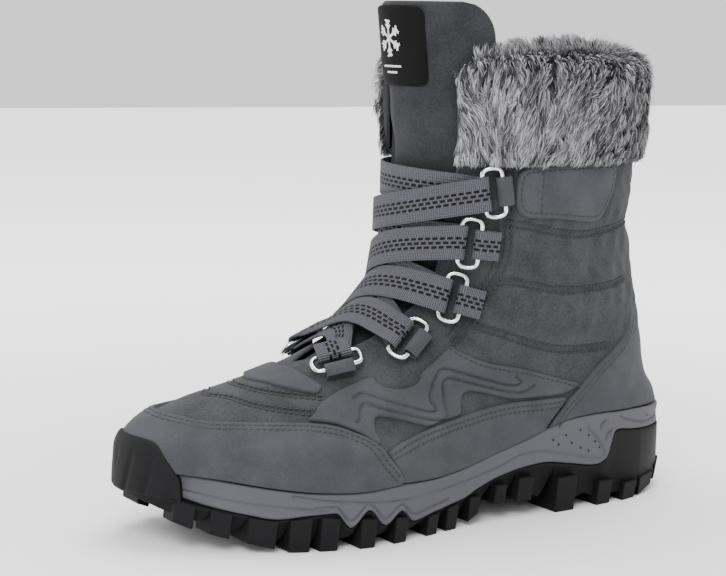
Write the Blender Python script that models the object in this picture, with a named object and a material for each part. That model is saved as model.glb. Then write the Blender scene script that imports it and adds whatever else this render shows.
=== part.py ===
"""A left snow boot: a hollow upper on a lugged sole, with fur cuff, tongue and webbing lacing.

The boot stands on its sole with +Z up, its toe at -Y and its lateral side at +X. Every piece of
the upper is worked out from one function, last(), and the tables give shares of the named sizes.
"""

import math

import bmesh
import bpy
import numpy as np
from mathutils import Vector
from mathutils.geometry import delaunay_2d_cdt

# Driving sizes of the boot, in metres
SOLE_LENGTH = 0.279
BALL_WIDTH = 0.104
HEEL_WIDTH = 0.078
HEEL_HEIGHT = 0.0435
VAMP_HEIGHT = 0.072
COLLAR_HEIGHT = 0.205
SHAFT_WIDTH = 0.092
SHAFT_DEPTH = 0.127
SHAFT_SET_BACK = 0.023
TOE_SHIFT = 0.008
THROAT_WIDTH = 0.048
CLEARANCE = 0.0003

# Walls and layers
WALL = 0.0024
OVERLAY = 0.0014
SEAT_GAP = 0.0011
BUMPER_WALL = 0.0027
BUMPER_DROP = 0.008
INSOLE_THICKNESS = 0.004
INSOLE_MARGIN = 0.0014
TONGUE_THICKNESS = 0.006
TONGUE_GAP = 0.0014
TONGUE_TOP = 0.232
TONGUE_FOOT = 0.066
TONGUE_LEAN = 0.008
LABEL_WIDTH = 0.041
LABEL_HEIGHT = 0.036
LABEL_DROP = 0.002
LABEL_THICKNESS = 0.0012
STRAP_TAB_THICKNESS = 0.0022

# Sole
OUTSOLE_FLARE = 0.0006
MIDSOLE_FLARE = 0.0010
MIDSOLE_TOE_INSET = 0.0010
HEEL_FLARE = 0.0020
GROOVE_DEPTH = 0.0009
GROOVE_DROP = 0.0034
LUG_DEPTH = 0.005
LUG_LEAN = 0.0012
LUG_SEAT = 0.0007
SOLE_RECESS = 0.0016
LUG_RISE = 0.0020
LUG_PROUD = 0.0009
TOE_SPRING = 0.018

# Webbing, rings and keepers
WEB_WIDTH = 0.0155
WEB_THICKNESS = 0.0012
WIRE = 0.0022
RING_LENGTH = 0.024
RING_WIDTH = 0.011
RING_END = 0.0034
RING_OUT = 0.0043
WIRE_CLEARANCE = 0.0006
KEEPER_THICKNESS = 0.0011
KEEPER_WIDTH = 0.0130
WEB_END_TURN = math.radians(63)
WEB_END_UP = 1.605
WEB_TAIL = 0.006
UNDER_LIFT = 0.0025
OVER_LIFT = 0.0050

# Fur cuff
CUFF_ABOVE_RING = 0.0034
CUFF_TOP = 0.2105
CUFF_THICKNESS = 0.0065
CUFF_GAP = 0.0008
CUFF_ROLL = 0.0085
CUFF_FRONT_TURN = math.radians(39)
CUFF_OPEN_TURN = math.radians(66)
CUFF_FULL_TURN = math.radians(78)
CUFF_COLUMNS = 22
LOCK_LENGTH = 0.008
LOCK_PITCH = 0.0150
CUFF_RISE = (
    # turn from the front in degrees, rise of the cuff's top in metres
    (39, 0.000),
    (90, 0.000),
    (130, -0.002),
    (155, -0.002),
    (180, 0.002),
    (215, 0.006),
    (240, 0.003),
    (270, -0.001),
    (321, 0.000),
)

# Lugs and outlines
LUG_DRAFT = 0.04
SOLE_SECTION = 0.333
FOOT_STEP = 0.040

# Sections of the boot. Heights run from 0 at the ground over 1 at the vamp to 2 at the collar.
# Foot sections: front and back as shares of the sole length, half widths towards the toe as
# shares of half the ball width and towards the heel as shares of half the heel width.
TURNS = np.radians([0, 40, 65, 95, 135, 180])
FOOT_SECTIONS = (
    # height, front, back, toe, forefoot, ball, waist, heel side, heel back, medial blend
    (0.139, 1.007, 0.007, 1.090, 1.070, 1.070, 1.045, 1.300, 1.760, 1.00),
    (SOLE_SECTION, 1.007, 0.007, 1.105, 1.080, 1.080, 1.050, 1.300, 1.780, 1.00),
    (0.556, 1.004, 0.009, 1.100, 1.100, 1.105, 1.070, 1.285, 1.730, 1.00),
    (0.667, 0.986, 0.018, 0.985, 1.000, 0.975, 1.045, 1.290, 1.680, 0.90),
    (0.792, 0.926, 0.038, 0.750, 0.790, 0.830, 1.035, 1.290, 1.580, 0.80),
    (0.889, 0.826, 0.046, 0.700, 0.745, 0.775, 1.015, 1.265, 1.475, 0.65),
    (1.000, 0.726, 0.051, 0.645, 0.760, 0.785, 1.010, 1.205, 1.400, 0.50),
)
# Shaft sections: front as a share of the shaft depth, half widths of half the shaft width.
SHAFT_SECTIONS = (
    # height, front, back, toe, front side, side, side, heel side, heel back, medial blend
    (1.120, 1.170, -0.035, 0.715, 0.800, 0.850, 0.875, 0.990, 1.120, 0.30),
    (1.286, 1.030, 0.008, 0.780, 0.845, 0.895, 0.905, 0.970, 1.035, 0.15),
    (1.466, 1.004, 0.030, 0.825, 0.890, 0.930, 0.940, 0.980, 1.035, 0.10),
    (1.662, 1.000, 0.025, 0.870, 0.935, 0.965, 0.975, 0.995, 1.035, 0.00),
    (2.000, 1.020, 0.008, 0.950, 0.995, 1.015, 1.015, 1.015, 1.035, 0.00),
)
MEDIAL_SHARES = np.array([0.86, 0.93, 0.84, 0.855, 0.97, 1.0])

# Rows of the upper's mesh: the height of each row at the toe and at the heel.
ROWS = (
    # toe, heel
    (0.701, 0.792),
    (0.750, 0.861),
    (0.792, 0.931),
    (0.826, 1.000),
    (0.864, 1.045),
    (0.903, 1.098),
    (0.949, 1.158),
    (1.000, 1.218),
    (1.038, 1.278),
    (1.090, 1.338),
    (1.158, 1.400),
    (1.248, 1.466),
    (1.361, 1.545),
    (1.511, 1.650),
    (1.662, 1.770),
    (1.812, 1.880),
    (1.962, 1.962),
)
SEAT_SHARES = (0.0, 0.35, 0.70)
VAMP_ROW = 12
HALF_COLUMNS = 18
THROAT = (
    # height, half width as a share of half the throat width
    (1.000, 0.00),
    (1.038, 0.56),
    (1.135, 0.75),
    (1.286, 0.92),
    (1.489, 1.00),
    (1.662, 1.17),
    (2.000, 1.42),
)

# Sole: along as a share of the sole length, top and foot of the midsole as shares of the heel
# height. The foot of the midsole is the wavy line where its teeth bite into the outsole.
SOLE = (
    # along, top, foot
    (0.000, 0.965, 0.759),
    (0.020, 0.965, 0.770),
    (0.055, 0.972, 0.790),
    (0.090, 0.985, 0.805),
    (0.125, 0.995, 0.810),
    (0.155, 1.000, 0.812),
    (0.185, 1.008, 0.816),
    (0.208, 1.012, 0.520),
    (0.228, 1.015, 0.471),
    (0.270, 0.998, 0.517),
    (0.326, 0.920, 0.560),
    (0.360, 0.850, 0.540),
    (0.423, 0.742, 0.460),
    (0.458, 0.674, 0.380),
    (0.490, 0.620, 0.295),
    (0.520, 0.593, 0.260),
    (0.560, 0.575, 0.222),
    (0.600, 0.582, 0.185),
    (0.627, 0.593, 0.310),
    (0.658, 0.584, 0.200),
    (0.687, 0.568, 0.365),
    (0.716, 0.563, 0.212),
    (0.740, 0.568, 0.362),
    (0.775, 0.582, 0.352),
    (0.824, 0.625, 0.326),
    (0.875, 0.685, 0.390),
    (0.918, 0.736, 0.450),
    (0.953, 0.759, 0.520),
    (0.982, 0.770, 0.570),
    (1.000, 0.780, 0.595),
)
GROUND = (
    # along, height as a share of the toe spring
    (0.000, 0.66),
    (0.045, 0.25),
    (0.115, 0.00),
    (0.325, 0.00),
    (0.352, 0.42),
    (0.425, 0.47),
    (0.465, 0.27),
    (0.500, 0.00),
    (0.803, 0.00),
    (0.827, 0.08),
    (0.880, 0.29),
    (0.950, 0.62),
    (1.000, 1.00),
)
SIDE_LUGS = (
    # from, to, reach inwards as a share of the half width, top as a share of the heel height
    (0.024, 0.046, 0.55, 0.250),
    (0.058, 0.102, 0.50, 0.210),
    (0.113, 0.147, 0.50, 0.195),
    (0.174, 0.206, 0.50, 0.260),
    (0.257, 0.297, 0.50, 0.375),
    (0.348, 0.378, 0.45, 0.430),
    (0.402, 0.424, 0.40, 0.385),
    (0.455, 0.477, 0.40, 0.300),
    (0.503, 0.527, 0.40, 0.300),
    (0.547, 0.571, 0.42, 0.300),
    (0.615, 0.639, 0.42, 0.300),
    (0.674, 0.699, 0.42, 0.350),
    (0.733, 0.760, 0.42, 0.350),
    (0.775, 0.805, 0.42, 0.345),
    (0.824, 0.862, 0.42, 0.400),
    (0.885, 0.911, 0.45, 0.450),
    (0.930, 0.953, 0.50, 0.500),
)
CENTRE_LUGS = (
    # middle, half length, half width as a share of the ball width
    (0.865, 0.022, 0.20),
    (0.800, 0.024, 0.25),
    (0.730, 0.024, 0.26),
    (0.660, 0.024, 0.25),
    (0.590, 0.024, 0.22),
    (0.215, 0.030, 0.16),
    (0.130, 0.024, 0.16),
)

# Outlines of the overlays: along as a share of the sole length, up on the height scale.
BUMPER_EDGE = ((0.953, 0.000), (0.955, 0.440), (0.972, 0.610), (0.986, 0.620))
RAND_EDGE = (
    (0.624, 0.000),
    (0.657, 0.500),
    (0.679, 0.583),
    (0.697, 0.646),
    (0.722, 0.694),
    (0.745, 0.715),
    (0.785, 0.729),
    (0.862, 0.729),
    (0.910, 0.736),
    (0.932, 0.750),
    (0.965, 0.760),
)
RAND_FOOT = ((0.940, 0.000), (0.944, 0.470), (0.962, 0.645), (0.980, 0.655))
BAND_OUTLINE = (
    (0.620, 0.000),
    (0.651, 0.490),
    (0.669, 0.572),
    (0.598, 0.634),
    (0.524, 0.683),
    (0.465, 0.722),
    (0.410, 0.750),
    (0.349, 0.745),
    (0.298, 0.750),
    (0.290, 0.738),
    (0.304, 0.670),
    (0.325, 0.595),
    (0.347, 0.000),
)
COUNTER_EDGE = (
    (0.339, 0.000),
    (0.319, 0.590),
    (0.298, 0.672),
    (0.265, 0.775),
    (0.221, 0.930),
    (0.196, 0.980),
    (0.169, 1.020),
    (0.148, 1.060),
    (0.132, 1.150),
    (0.122, 1.240),
    (0.117, 1.290),
    (0.080, 1.300),
)
OVERLAY_OUTLINE = (
    (0.771, 0.742),
    (0.752, 0.778),
    (0.728, 0.840),
    (0.698, 0.886),
    (0.640, 0.958),
    (0.641, 0.924),
    (0.630, 0.896),
    (0.604, 0.882),
    (0.579, 0.903),
    (0.568, 0.944),
    (0.568, 0.972),
    (0.509, 1.066),
    (0.503, 1.054),
    (0.490, 1.038),
    (0.449, 1.007),
    (0.373, 0.951),
    (0.308, 0.875),
    (0.262, 0.826),
    (0.269, 0.806),
    (0.296, 0.770),
    (0.349, 0.766),
    (0.401, 0.770),
    (0.429, 0.799),
    (0.458, 0.829),
    (0.483, 0.851),
    (0.499, 0.843),
    (0.505, 0.790),
    (0.504, 0.716),
    (0.524, 0.703),
    (0.577, 0.665),
    (0.581, 0.675),
    (0.622, 0.722),
    (0.662, 0.756),
    (0.671, 0.722),
    (0.672, 0.605),
    (0.681, 0.610),
    (0.697, 0.666),
    (0.722, 0.714),
    (0.745, 0.735),
)
VAMP_TAB_REAR = ((0.716, 0.925), (0.731, 0.972))
VAMP_TAB_FRONT = ((0.731, 0.868), (0.750, 0.880), (0.768, 0.895), (0.785, 0.915))
STRAP_TAB_OUTLINE = (
    (0.406, 1.660),
    (0.368, 1.668),
    (0.267, 1.672),
    (0.223, 1.672),
    (0.208, 1.660),
    (0.208, 1.617),
    (0.219, 1.553),
    (0.234, 1.500),
    (0.245, 1.474),
    (0.266, 1.470),
    (0.338, 1.490),
    (0.406, 1.494),
)

TOP_RING_UP = 1.580
RINGS = (
    # name, side, along, up, lean from upright in degrees, reach of the keeper in metres
    ("lateral_1", 1, 0.440, TOP_RING_UP, 8.4, 0.0035),
    ("lateral_2", 1, 0.467, 1.408, -5.0, 0.0080),
    ("lateral_3", 1, 0.491, 1.218, -19.5, 0.0080),
    ("lateral_4", 1, 0.568, 1.074, -49.7, 0.0030),
    ("lateral_5", 1, 0.680, 1.000, -74.6, 0.0035),
    ("medial_1", -1, 0.462, 1.450, -4.0, 0.0080),
    ("medial_2", -1, 0.484, 1.255, -16.0, 0.0080),
    ("medial_3", -1, 0.550, 1.100, -48.0, 0.0030),
    ("medial_4", -1, 0.650, 1.012, -70.0, 0.0035),
)
PASSES = (
    # from ring, to ring, height where the strip crosses the ridge, over or under
    (None, "lateral_1", 1.602, "under"),
    ("lateral_1", "medial_1", 1.504, "over"),
    ("medial_1", "lateral_2", 1.436, "under"),
    ("lateral_2", "medial_2", 1.368, "over"),
    ("medial_2", "lateral_3", 1.301, "under"),
    ("lateral_3", "medial_3", 1.244, "over"),
    ("medial_3", "lateral_4", 1.192, "under"),
    ("lateral_4", "medial_4", 1.143, "over"),
    ("medial_4", "lateral_5", 1.094, "under"),
)


def smooth(xs, ys, x):
    """The monotone cubic through a table; ys has a row for each x of the table."""
    xs = np.asarray(xs, float)
    ys = np.asarray(ys, float)
    x = np.clip(np.atleast_1d(np.asarray(x, float)), xs[0], xs[-1])
    if ys.ndim == 1:
        ys = np.repeat(ys[:, None], x.size, axis=1)
    step = np.diff(xs)[:, None]
    rise = np.diff(ys, axis=0) / step
    steady = rise[:-1] * rise[1:] > 0
    before = np.where(steady, rise[:-1], 1.0)
    after = np.where(steady, rise[1:], 1.0)
    near = 2 * step[1:] + step[:-1]
    far = step[1:] + 2 * step[:-1]
    slope = np.empty_like(ys)
    slope[0] = rise[0]
    slope[-1] = rise[-1]
    slope[1:-1] = np.where(steady, (near + far) / (near / before + far / after), 0.0)
    k = np.clip(np.searchsorted(xs, x, side="right") - 1, 0, len(xs) - 2)
    n = np.arange(x.size)
    h = step[k, 0]
    t = (x - xs[k]) / h
    start = ys[k, n] * (1 + 2 * t) * (1 - t) ** 2 + h * slope[k, n] * t * (1 - t) ** 2
    end = ys[k + 1, n] * t * t * (3 - 2 * t) + h * slope[k + 1, n] * t * t * (t - 1)
    return start + end


def height(up):
    """Metres above the ground for the height scale: 0 ground, 1 vamp, 2 collar."""
    up = np.asarray(up, float)
    shaft = VAMP_HEIGHT + (COLLAR_HEIGHT - VAMP_HEIGHT) * (up - 1)
    return np.where(up < 1, VAMP_HEIGHT * up, shaft)


def section_table():
    """All sections in metres: height, front, back, six half widths, medial blend."""
    rows = []
    for up, front, back, *widths, blend in FOOT_SECTIONS:
        scale = [BALL_WIDTH] * 3 + [HEEL_WIDTH] * 3
        half = [share * size / 2 for share, size in zip(widths, scale)]
        rows.append([height(up), SOLE_LENGTH * front, SOLE_LENGTH * back, *half, blend])
    for up, front, back, *widths, blend in SHAFT_SECTIONS:
        half = [share * SHAFT_WIDTH / 2 for share in widths]
        ends = [SHAFT_SET_BACK + SHAFT_DEPTH * share for share in (front, back)]
        rows.append([height(up), *ends, *half, blend])
    return np.array(rows, float)


SECTIONS = section_table()
HEEL_END = SOLE_LENGTH * FOOT_SECTIONS[0][2] - HEEL_FLARE
TOE_END = SOLE_LENGTH * FOOT_SECTIONS[0][1] + CLEARANCE + BUMPER_WALL
MIDDLE = (HEEL_END + TOE_END) / 2
CUFF_BOTTOM = float(height(TOP_RING_UP)) + RING_LENGTH / 2 + CUFF_ABOVE_RING


def ends_at(z):
    """Front and back of the boot at height z, measured from the heel."""
    values = smooth_columns(z, (1, 2))
    return values[0], values[1]


def smooth_columns(z, columns):
    return [smooth(SECTIONS[:, 0], SECTIONS[:, column], z) for column in columns]


def plain_last(turn, z):
    """The boot's outer surface; turn is 0 at the toe, pi at the heel, plus on the lateral side."""
    turn = np.mod(np.atleast_1d(turn) + np.pi, 2 * np.pi) - np.pi
    z = np.broadcast_to(np.asarray(z, float), turn.shape)
    angle = np.abs(turn)
    front, back, *widths, blend = smooth_columns(z, range(1, 10))
    radius = smooth(TURNS, np.array(widths), angle)
    medial = 1 - blend + blend * smooth(TURNS, MEDIAL_SHARES, angle)
    radius = np.where(turn < 0, radius * medial, radius)
    shift = TOE_SHIFT * blend * np.cos(np.minimum(angle, np.pi / 2)) ** 2
    x = np.sign(turn) * radius * np.sin(angle) - shift
    along = back + (front - back) * (1 + np.cos(angle)) / 2
    return np.stack([x, MIDDLE - along, z], axis=-1)


def last(turn, z, out=0.0):
    """The surface moved outwards along its normal by out."""
    turn = np.atleast_1d(np.asarray(turn, float))
    z = np.broadcast_to(np.asarray(z, float), turn.shape)
    step_turn = 0.01
    step_z = 0.0005
    across = plain_last(turn + step_turn, z) - plain_last(turn - step_turn, z)
    upward = plain_last(turn, z + step_z) - plain_last(turn, z - step_z)
    normal = np.cross(across, upward)
    normal /= np.linalg.norm(normal, axis=-1, keepdims=True)
    return plain_last(turn, z) + normal * np.reshape(out, (-1, 1))


def turn_at(along, z):
    """The turn, on the lateral side, of the point at a length from the heel and a height."""
    front, back = ends_at(z)
    return np.arccos(np.clip(2 * (along - back) / (front - back) - 1, -1, 1))


def sole_line(column, along):
    """A sole height in metres; column 1 is the top of the midsole and 2 its foot."""
    table = np.array(SOLE)
    return HEEL_HEIGHT * np.interp(along / SOLE_LENGTH, table[:, 0], table[:, column])


def ground_line(along):
    """The height of the lug soles above the ground."""
    table = np.array(GROUND)
    return TOE_SPRING * smooth(table[:, 0], table[:, 1], along / SOLE_LENGTH)


def throat_turn(up):
    """Half the throat's opening, as a turn from the front."""
    table = np.array(THROAT)
    half = smooth(table[:, 0], table[:, 1], up) * THROAT_WIDTH / 2
    z = height(up)
    turn = np.full(half.shape, 0.5)
    for _ in range(4):
        widths = smooth_columns(z, range(3, 9))
        radius = smooth(TURNS, np.array(widths), turn)
        turn = np.arcsin(np.clip(half / radius, 0, 0.95))
    return np.where(np.asarray(up) > 1.0, turn, 0.0)


# Lattice of the upper

COLUMNS = 2 * HALF_COLUMNS
LATTICE_ROWS = 2 + len(SEAT_SHARES) + len(ROWS)
SEAT_ROW = 2


def lattice_chart():
    """Turn and height of each lattice point, rows by columns, round the heel."""
    turns = np.zeros((LATTICE_ROWS, COLUMNS + 1))
    heights = np.zeros((LATTICE_ROWS, COLUMNS + 1))
    share = np.linspace(0, 1, COLUMNS + 1)
    closed = 2 * np.pi * share
    heelward = (1 - np.cos(closed)) / 2
    front, back = ends_at(height(0.45))
    along = back + (front - back) * (1 - heelward)
    seat = sole_line(1, along) + SEAT_GAP
    first = height(ROWS[0][0] + (ROWS[0][1] - ROWS[0][0]) * heelward)
    turns[: SEAT_ROW + len(SEAT_SHARES)] = closed
    heights[0] = seat - 2 * BUMPER_DROP
    heights[1] = seat - BUMPER_DROP
    for k, part in enumerate(SEAT_SHARES):
        heights[SEAT_ROW + k] = seat + (first - seat) * part
    for k, (toe, heel) in enumerate(ROWS):
        row = SEAT_ROW + len(SEAT_SHARES) + k
        opening = float(throat_turn(np.array([toe]))[0]) if row > VAMP_ROW else 0.0
        turn = opening + (2 * np.pi - 2 * opening) * share
        weight = (1 - np.cos(turn)) / 2
        turns[row] = turn
        heights[row] = height(toe + (heel - toe) * weight)
    return turns, heights


LATTICE_TURNS, LATTICE_HEIGHTS = lattice_chart()


def lattice(out):
    """The lattice's points, moved outwards by out."""
    points = last(LATTICE_TURNS.ravel(), LATTICE_HEIGHTS.ravel(), out)
    return points.reshape(LATTICE_ROWS, COLUMNS + 1, 3)


def to_lattice(turn, z):
    """Column and row, as real numbers, of a point given by turn (0 to 2 pi) and height."""
    heights = []
    for row in range(LATTICE_ROWS):
        heights.append(np.interp(turn, LATTICE_TURNS[row], LATTICE_HEIGHTS[row]))
    row = float(np.interp(z, heights, range(LATTICE_ROWS)))
    row = max(row, SEAT_ROW + 0.06)
    low = min(int(row), LATTICE_ROWS - 2)
    opening = LATTICE_TURNS[low, 0] * (low + 1 - row) + LATTICE_TURNS[low + 1, 0] * (row - low)
    return COLUMNS * (turn - opening) / (2 * np.pi - 2 * opening), row


def material(name, colour, roughness, metallic=0.0):
    made = bpy.data.materials.new(name)
    made.use_nodes = True
    shader = made.node_tree.nodes["Principled BSDF"]
    shader.inputs["Base Color"].default_value = (*colour, 1.0)
    shader.inputs["Roughness"].default_value = roughness
    shader.inputs["Metallic"].default_value = metallic
    return made


def add_solid(name, points, faces, finish):
    """A closed mesh object whose faces point outwards."""
    mesh = bpy.data.meshes.new(name)
    build = bmesh.new()
    corners = [build.verts.new(point) for point in points]
    for face in faces:
        build.faces.new([corners[index] for index in face])
    bmesh.ops.remove_doubles(build, verts=build.verts, dist=1e-6)
    bmesh.ops.recalc_face_normals(build, faces=build.faces)
    build.to_mesh(mesh)
    build.free()
    mesh.shade_smooth()
    mesh.set_sharp_from_angle(angle=math.radians(40))
    mesh.materials.append(finish)
    made = bpy.data.objects.new(name, mesh)
    bpy.context.scene.collection.objects.link(made)
    return made


def join_to(base, extra):
    """Fuses the pieces of one mesh onto another and deletes the first."""
    union = base.modifiers.new("union", "BOOLEAN")
    union.operation = "UNION"
    union.solver = "MANIFOLD"
    union.object = extra
    graph = bpy.context.evaluated_depsgraph_get()
    mesh = bpy.data.meshes.new_from_object(base.evaluated_get(graph))
    base.modifiers.clear()
    base.data = mesh
    bpy.data.objects.remove(extra)


def upper():
    outer = lattice(0.0)
    inner = lattice(-WALL)
    rows = range(SEAT_ROW, LATTICE_ROWS)
    points = []
    place = {}
    for side, grid in enumerate((outer, inner)):
        for row in rows:
            for column in range(COLUMNS + 1):
                place[side, row, column] = len(points)
                points.append(grid[row, column])
    faces = []
    for row in rows[:-1]:
        for column in range(COLUMNS):
            for side in (0, 1):
                a, b = place[side, row, column], place[side, row, column + 1]
                c, d = place[side, row + 1, column + 1], place[side, row + 1, column]
                faces += [(a, b, c), (a, c, d)] if side == 0 else [(a, c, b), (a, d, c)]
    for row in (SEAT_ROW, LATTICE_ROWS - 1):
        for column in range(COLUMNS):
            a, b = place[0, row, column], place[0, row, column + 1]
            c, d = place[1, row, column + 1], place[1, row, column]
            faces.append((a, b, c, d))
    for row in range(VAMP_ROW, LATTICE_ROWS - 1):
        for column in (0, COLUMNS):
            a, b = place[0, row, column], place[0, row + 1, column]
            c, d = place[1, row + 1, column], place[1, row, column]
            faces.append((a, b, c, d))
    return add_solid("upper", points, faces, NUBUCK)


def inside(point, outline):
    """Whether a chart point lies inside a closed outline."""
    x, y = point
    count = 0
    for (ax, ay), (bx, by) in zip(outline, outline[1:] + outline[:1]):
        if (ay > y) != (by > y) and x < ax + (y - ay) * (bx - ax) / (by - ay):
            count += 1
    return count % 2 == 1


def fill_in(corners, step):
    """The outline with extra points, so that no side is longer than step."""
    filled = []
    for (ax, ay), (bx, by) in zip(corners, corners[1:] + corners[:1]):
        parts = max(1, math.ceil(math.hypot(bx - ax, by - ay) / step))
        filled += [(ax + (bx - ax) * k / parts, ay + (by - ay) * k / parts) for k in range(parts)]
    return filled


def panel(name, outline, out, thickness, finish):
    """The layer between two forms of the lattice, cut along an outline of column and row."""
    outline = fill_in(outline, 1.0)
    columns = [point[0] for point in outline]
    rows = [point[1] for point in outline]
    left, right = math.floor(min(columns)), math.ceil(max(columns))
    low, high = math.floor(min(rows)), math.ceil(max(rows))
    points = [Vector(point) for point in outline]
    edges = [(k, (k + 1) % len(outline)) for k in range(len(outline))]
    grid = {}
    for column in range(left, right + 1):
        for row in range(low, high + 1):
            grid[column, row] = len(points)
            points.append(Vector((column, row)))
    for (column, row), index in grid.items():
        for step in ((1, 0), (0, 1), (1, 1)):
            other = grid.get((column + step[0], row + step[1]))
            if other is not None:
                edges.append((index, other))
    chart, _, triangles, *_ = delaunay_2d_cdt(points, edges, [], 0, 0.02)
    kept = []
    for triangle in triangles:
        middle = sum((chart[index] for index in triangle), Vector((0, 0))) / len(triangle)
        if inside(middle, outline):
            kept.append(tuple(triangle))
    used = sorted({index for triangle in kept for index in triangle})
    order = {index: k for k, index in enumerate(used)}
    layers = []
    for distance in (out, out + thickness):
        form = lattice(distance)
        layers.append([on_form(form, chart[index]) for index in used])
    count = len(used)
    faces = []
    border = {}
    for triangle in kept:
        a, b, c = (order[index] for index in triangle)
        faces += [(a, c, b), (a + count, b + count, c + count)]
        for edge in ((a, b), (b, c), (c, a)):
            if edge[::-1] in border:
                del border[edge[::-1]]
            else:
                border[edge] = True
    for a, b in border:
        faces.append((a, b, b + count, a + count))
    return add_solid(name, layers[0] + layers[1], faces, finish)


def on_form(form, place):
    """The point of a faceted form at a real column and row; each cell has two flat halves."""
    column, row = place
    left = math.floor(column + 1e-6)
    low = min(math.floor(row + 1e-6), LATTICE_ROWS - 2)
    x, y = column - left, row - low
    corner = form[low, left % COLUMNS]
    across = form[low, left % COLUMNS + 1]
    beyond = form[low + 1, left % COLUMNS + 1]
    above = form[low + 1, left % COLUMNS]
    if x >= y:
        return corner + (across - corner) * x + (beyond - across) * y
    return corner + (above - corner) * y + (beyond - above) * x


def chart_place(along, up, side):
    """Column and row of a point of an outline, on the lateral or the medial side."""
    z = float(height(up))
    turn = float(turn_at(along * SOLE_LENGTH, z)[0])
    column, row = to_lattice(turn, z)
    return (column, row) if side > 0 else (COLUMNS - column, row)


def side_outline(outline, side):
    return [chart_place(along, up, side) for along, up in outline]


def toe_outline(edge, foot):
    """An outline round the toe: both tables run from the rear to the toe, on either side."""
    lateral = [chart_place(along, up, 1) for along, up in edge]
    below = [chart_place(along, up, 1) for along, up in foot]
    centre = (0.0, lateral[-1][1])
    under = (0.0, below[-1][1])
    there = lateral[:-1] + [centre] + [(-c, r) for c, r in reversed(lateral[:-1])]
    back = [(-c, r) for c, r in below[:-1]] + [under] + list(reversed(below[:-1]))
    return there + back


def heel_outline(edge):
    """An outline round the heel, down to the sole."""
    lateral = [chart_place(along, up, 1) for along, up in edge]
    seat = lateral[0][1]
    heel = (HALF_COLUMNS, lateral[-1][1])
    upper_edge = lateral[:-1] + [heel] + [(COLUMNS - c, r) for c, r in reversed(lateral[:-1])]
    steps = range(int(COLUMNS - lateral[0][0]), int(lateral[0][0]), -1)
    return upper_edge + [(float(step), seat) for step in steps]


def foot_run(start, end):
    """Points along the foot between two lengths, about a foot step apart."""
    count = round(abs(end - start) / FOOT_STEP)
    return [(float(along), 0.0) for along in np.linspace(start, end, count + 1)[1:-1]]


def overlays():
    rand_foot = foot_run(RAND_EDGE[0][0], RAND_FOOT[0][0])
    panel("toe_rand", toe_outline(RAND_EDGE, rand_foot + list(RAND_FOOT)), CLEARANCE, OVERLAY, NUBUCK)
    for name, side in (("lateral", 1), ("medial", -1)):
        foot = foot_run(BAND_OUTLINE[-1][0], BAND_OUTLINE[0][0])
        band = side_outline(list(BAND_OUTLINE) + foot, side)
        panel("side_band_" + name, band, CLEARANCE, OVERLAY, NUBUCK)
        shape = side_outline(OVERLAY_OUTLINE, side)
        panel("side_overlay_" + name, shape, CLEARANCE, OVERLAY, NUBUCK)
    panel("heel_counter", heel_outline(COUNTER_EDGE), CLEARANCE, OVERLAY, NUBUCK)
    panel("vamp_tab", toe_outline(VAMP_TAB_REAR, VAMP_TAB_FRONT), CLEARANCE, OVERLAY, NUBUCK)
    strap_tab = side_outline(STRAP_TAB_OUTLINE, 1)
    panel("strap_tab", strap_tab, CLEARANCE, STRAP_TAB_THICKNESS, NUBUCK)


def toe_bumper():
    """The rubber guard at the toe, from the top of the outsole over the midsole's front."""
    edge = [chart_place(along, up, 1) for along, up in BUMPER_EDGE]
    foot = 1 + CLEARANCE / BUMPER_DROP
    edge[0] = (edge[0][0], foot)
    rise = edge[:-1] + [(0.0, edge[-1][1])]
    outline = rise + [(-c, r) for c, r in reversed(edge[:-1])]
    outline += [(float(step), foot) for step in (-1, 0, 1)]
    panel("toe_bumper", outline, CLEARANCE, BUMPER_WALL, RUBBER)


def sole_columns():
    """Turns of the sole's columns, from the toe round the heel, and their lengths."""
    shares = [row[0] for row in SOLE]
    lateral = [math.acos(2 * share - 1) for share in reversed(shares)]
    turns = lateral + [2 * math.pi - turn for turn in reversed(lateral[1:-1])]
    lengths = [SOLE_LENGTH * (1 + math.cos(turn)) / 2 for turn in turns]
    return np.array(turns), np.array(lengths)


def ladder(name, rings, finish):
    """A closed solid from stacked rings, its top and bottom bridged from side to side."""
    count = len(rings[0])
    points = [point for ring in rings for point in ring]
    faces = []
    for level in range(len(rings) - 1):
        for k in range(count):
            a, b = level * count + k, level * count + (k + 1) % count
            faces.append((a, b, b + count, a + count))
    for base in (0, (len(rings) - 1) * count):
        faces.append((base, base + 1, base + count - 1))
        for k in range(1, count // 2 - 1):
            a, b = base + k, base + k + 1
            c, d = base + count - k - 1, base + count - k
            faces += [(a, b, c), (a, c, d)]
        middle = count // 2
        faces.append((base + middle - 1, base + middle, base + middle + 1))
    return add_solid(name, points, faces, finish)


def sole_ring(out, z):
    """A ring round the sole's outline: out and z may differ from column to column."""
    turns, _ = sole_columns()
    ring = last(turns, np.full(turns.shape, height(SOLE_SECTION)), np.broadcast_to(out, turns.shape))
    ring[:, 2] = z
    return ring


def toe_and_heel(toe, side, heel):
    """A size for each column: its value at the toe, along the sides and at the heel."""
    _, lengths = sole_columns()
    share = lengths / SOLE_LENGTH
    return np.interp(share, (0.0, 0.10, 0.20, 0.88, 0.945, 1.0), (heel, heel, side, side, toe, toe))


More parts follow.
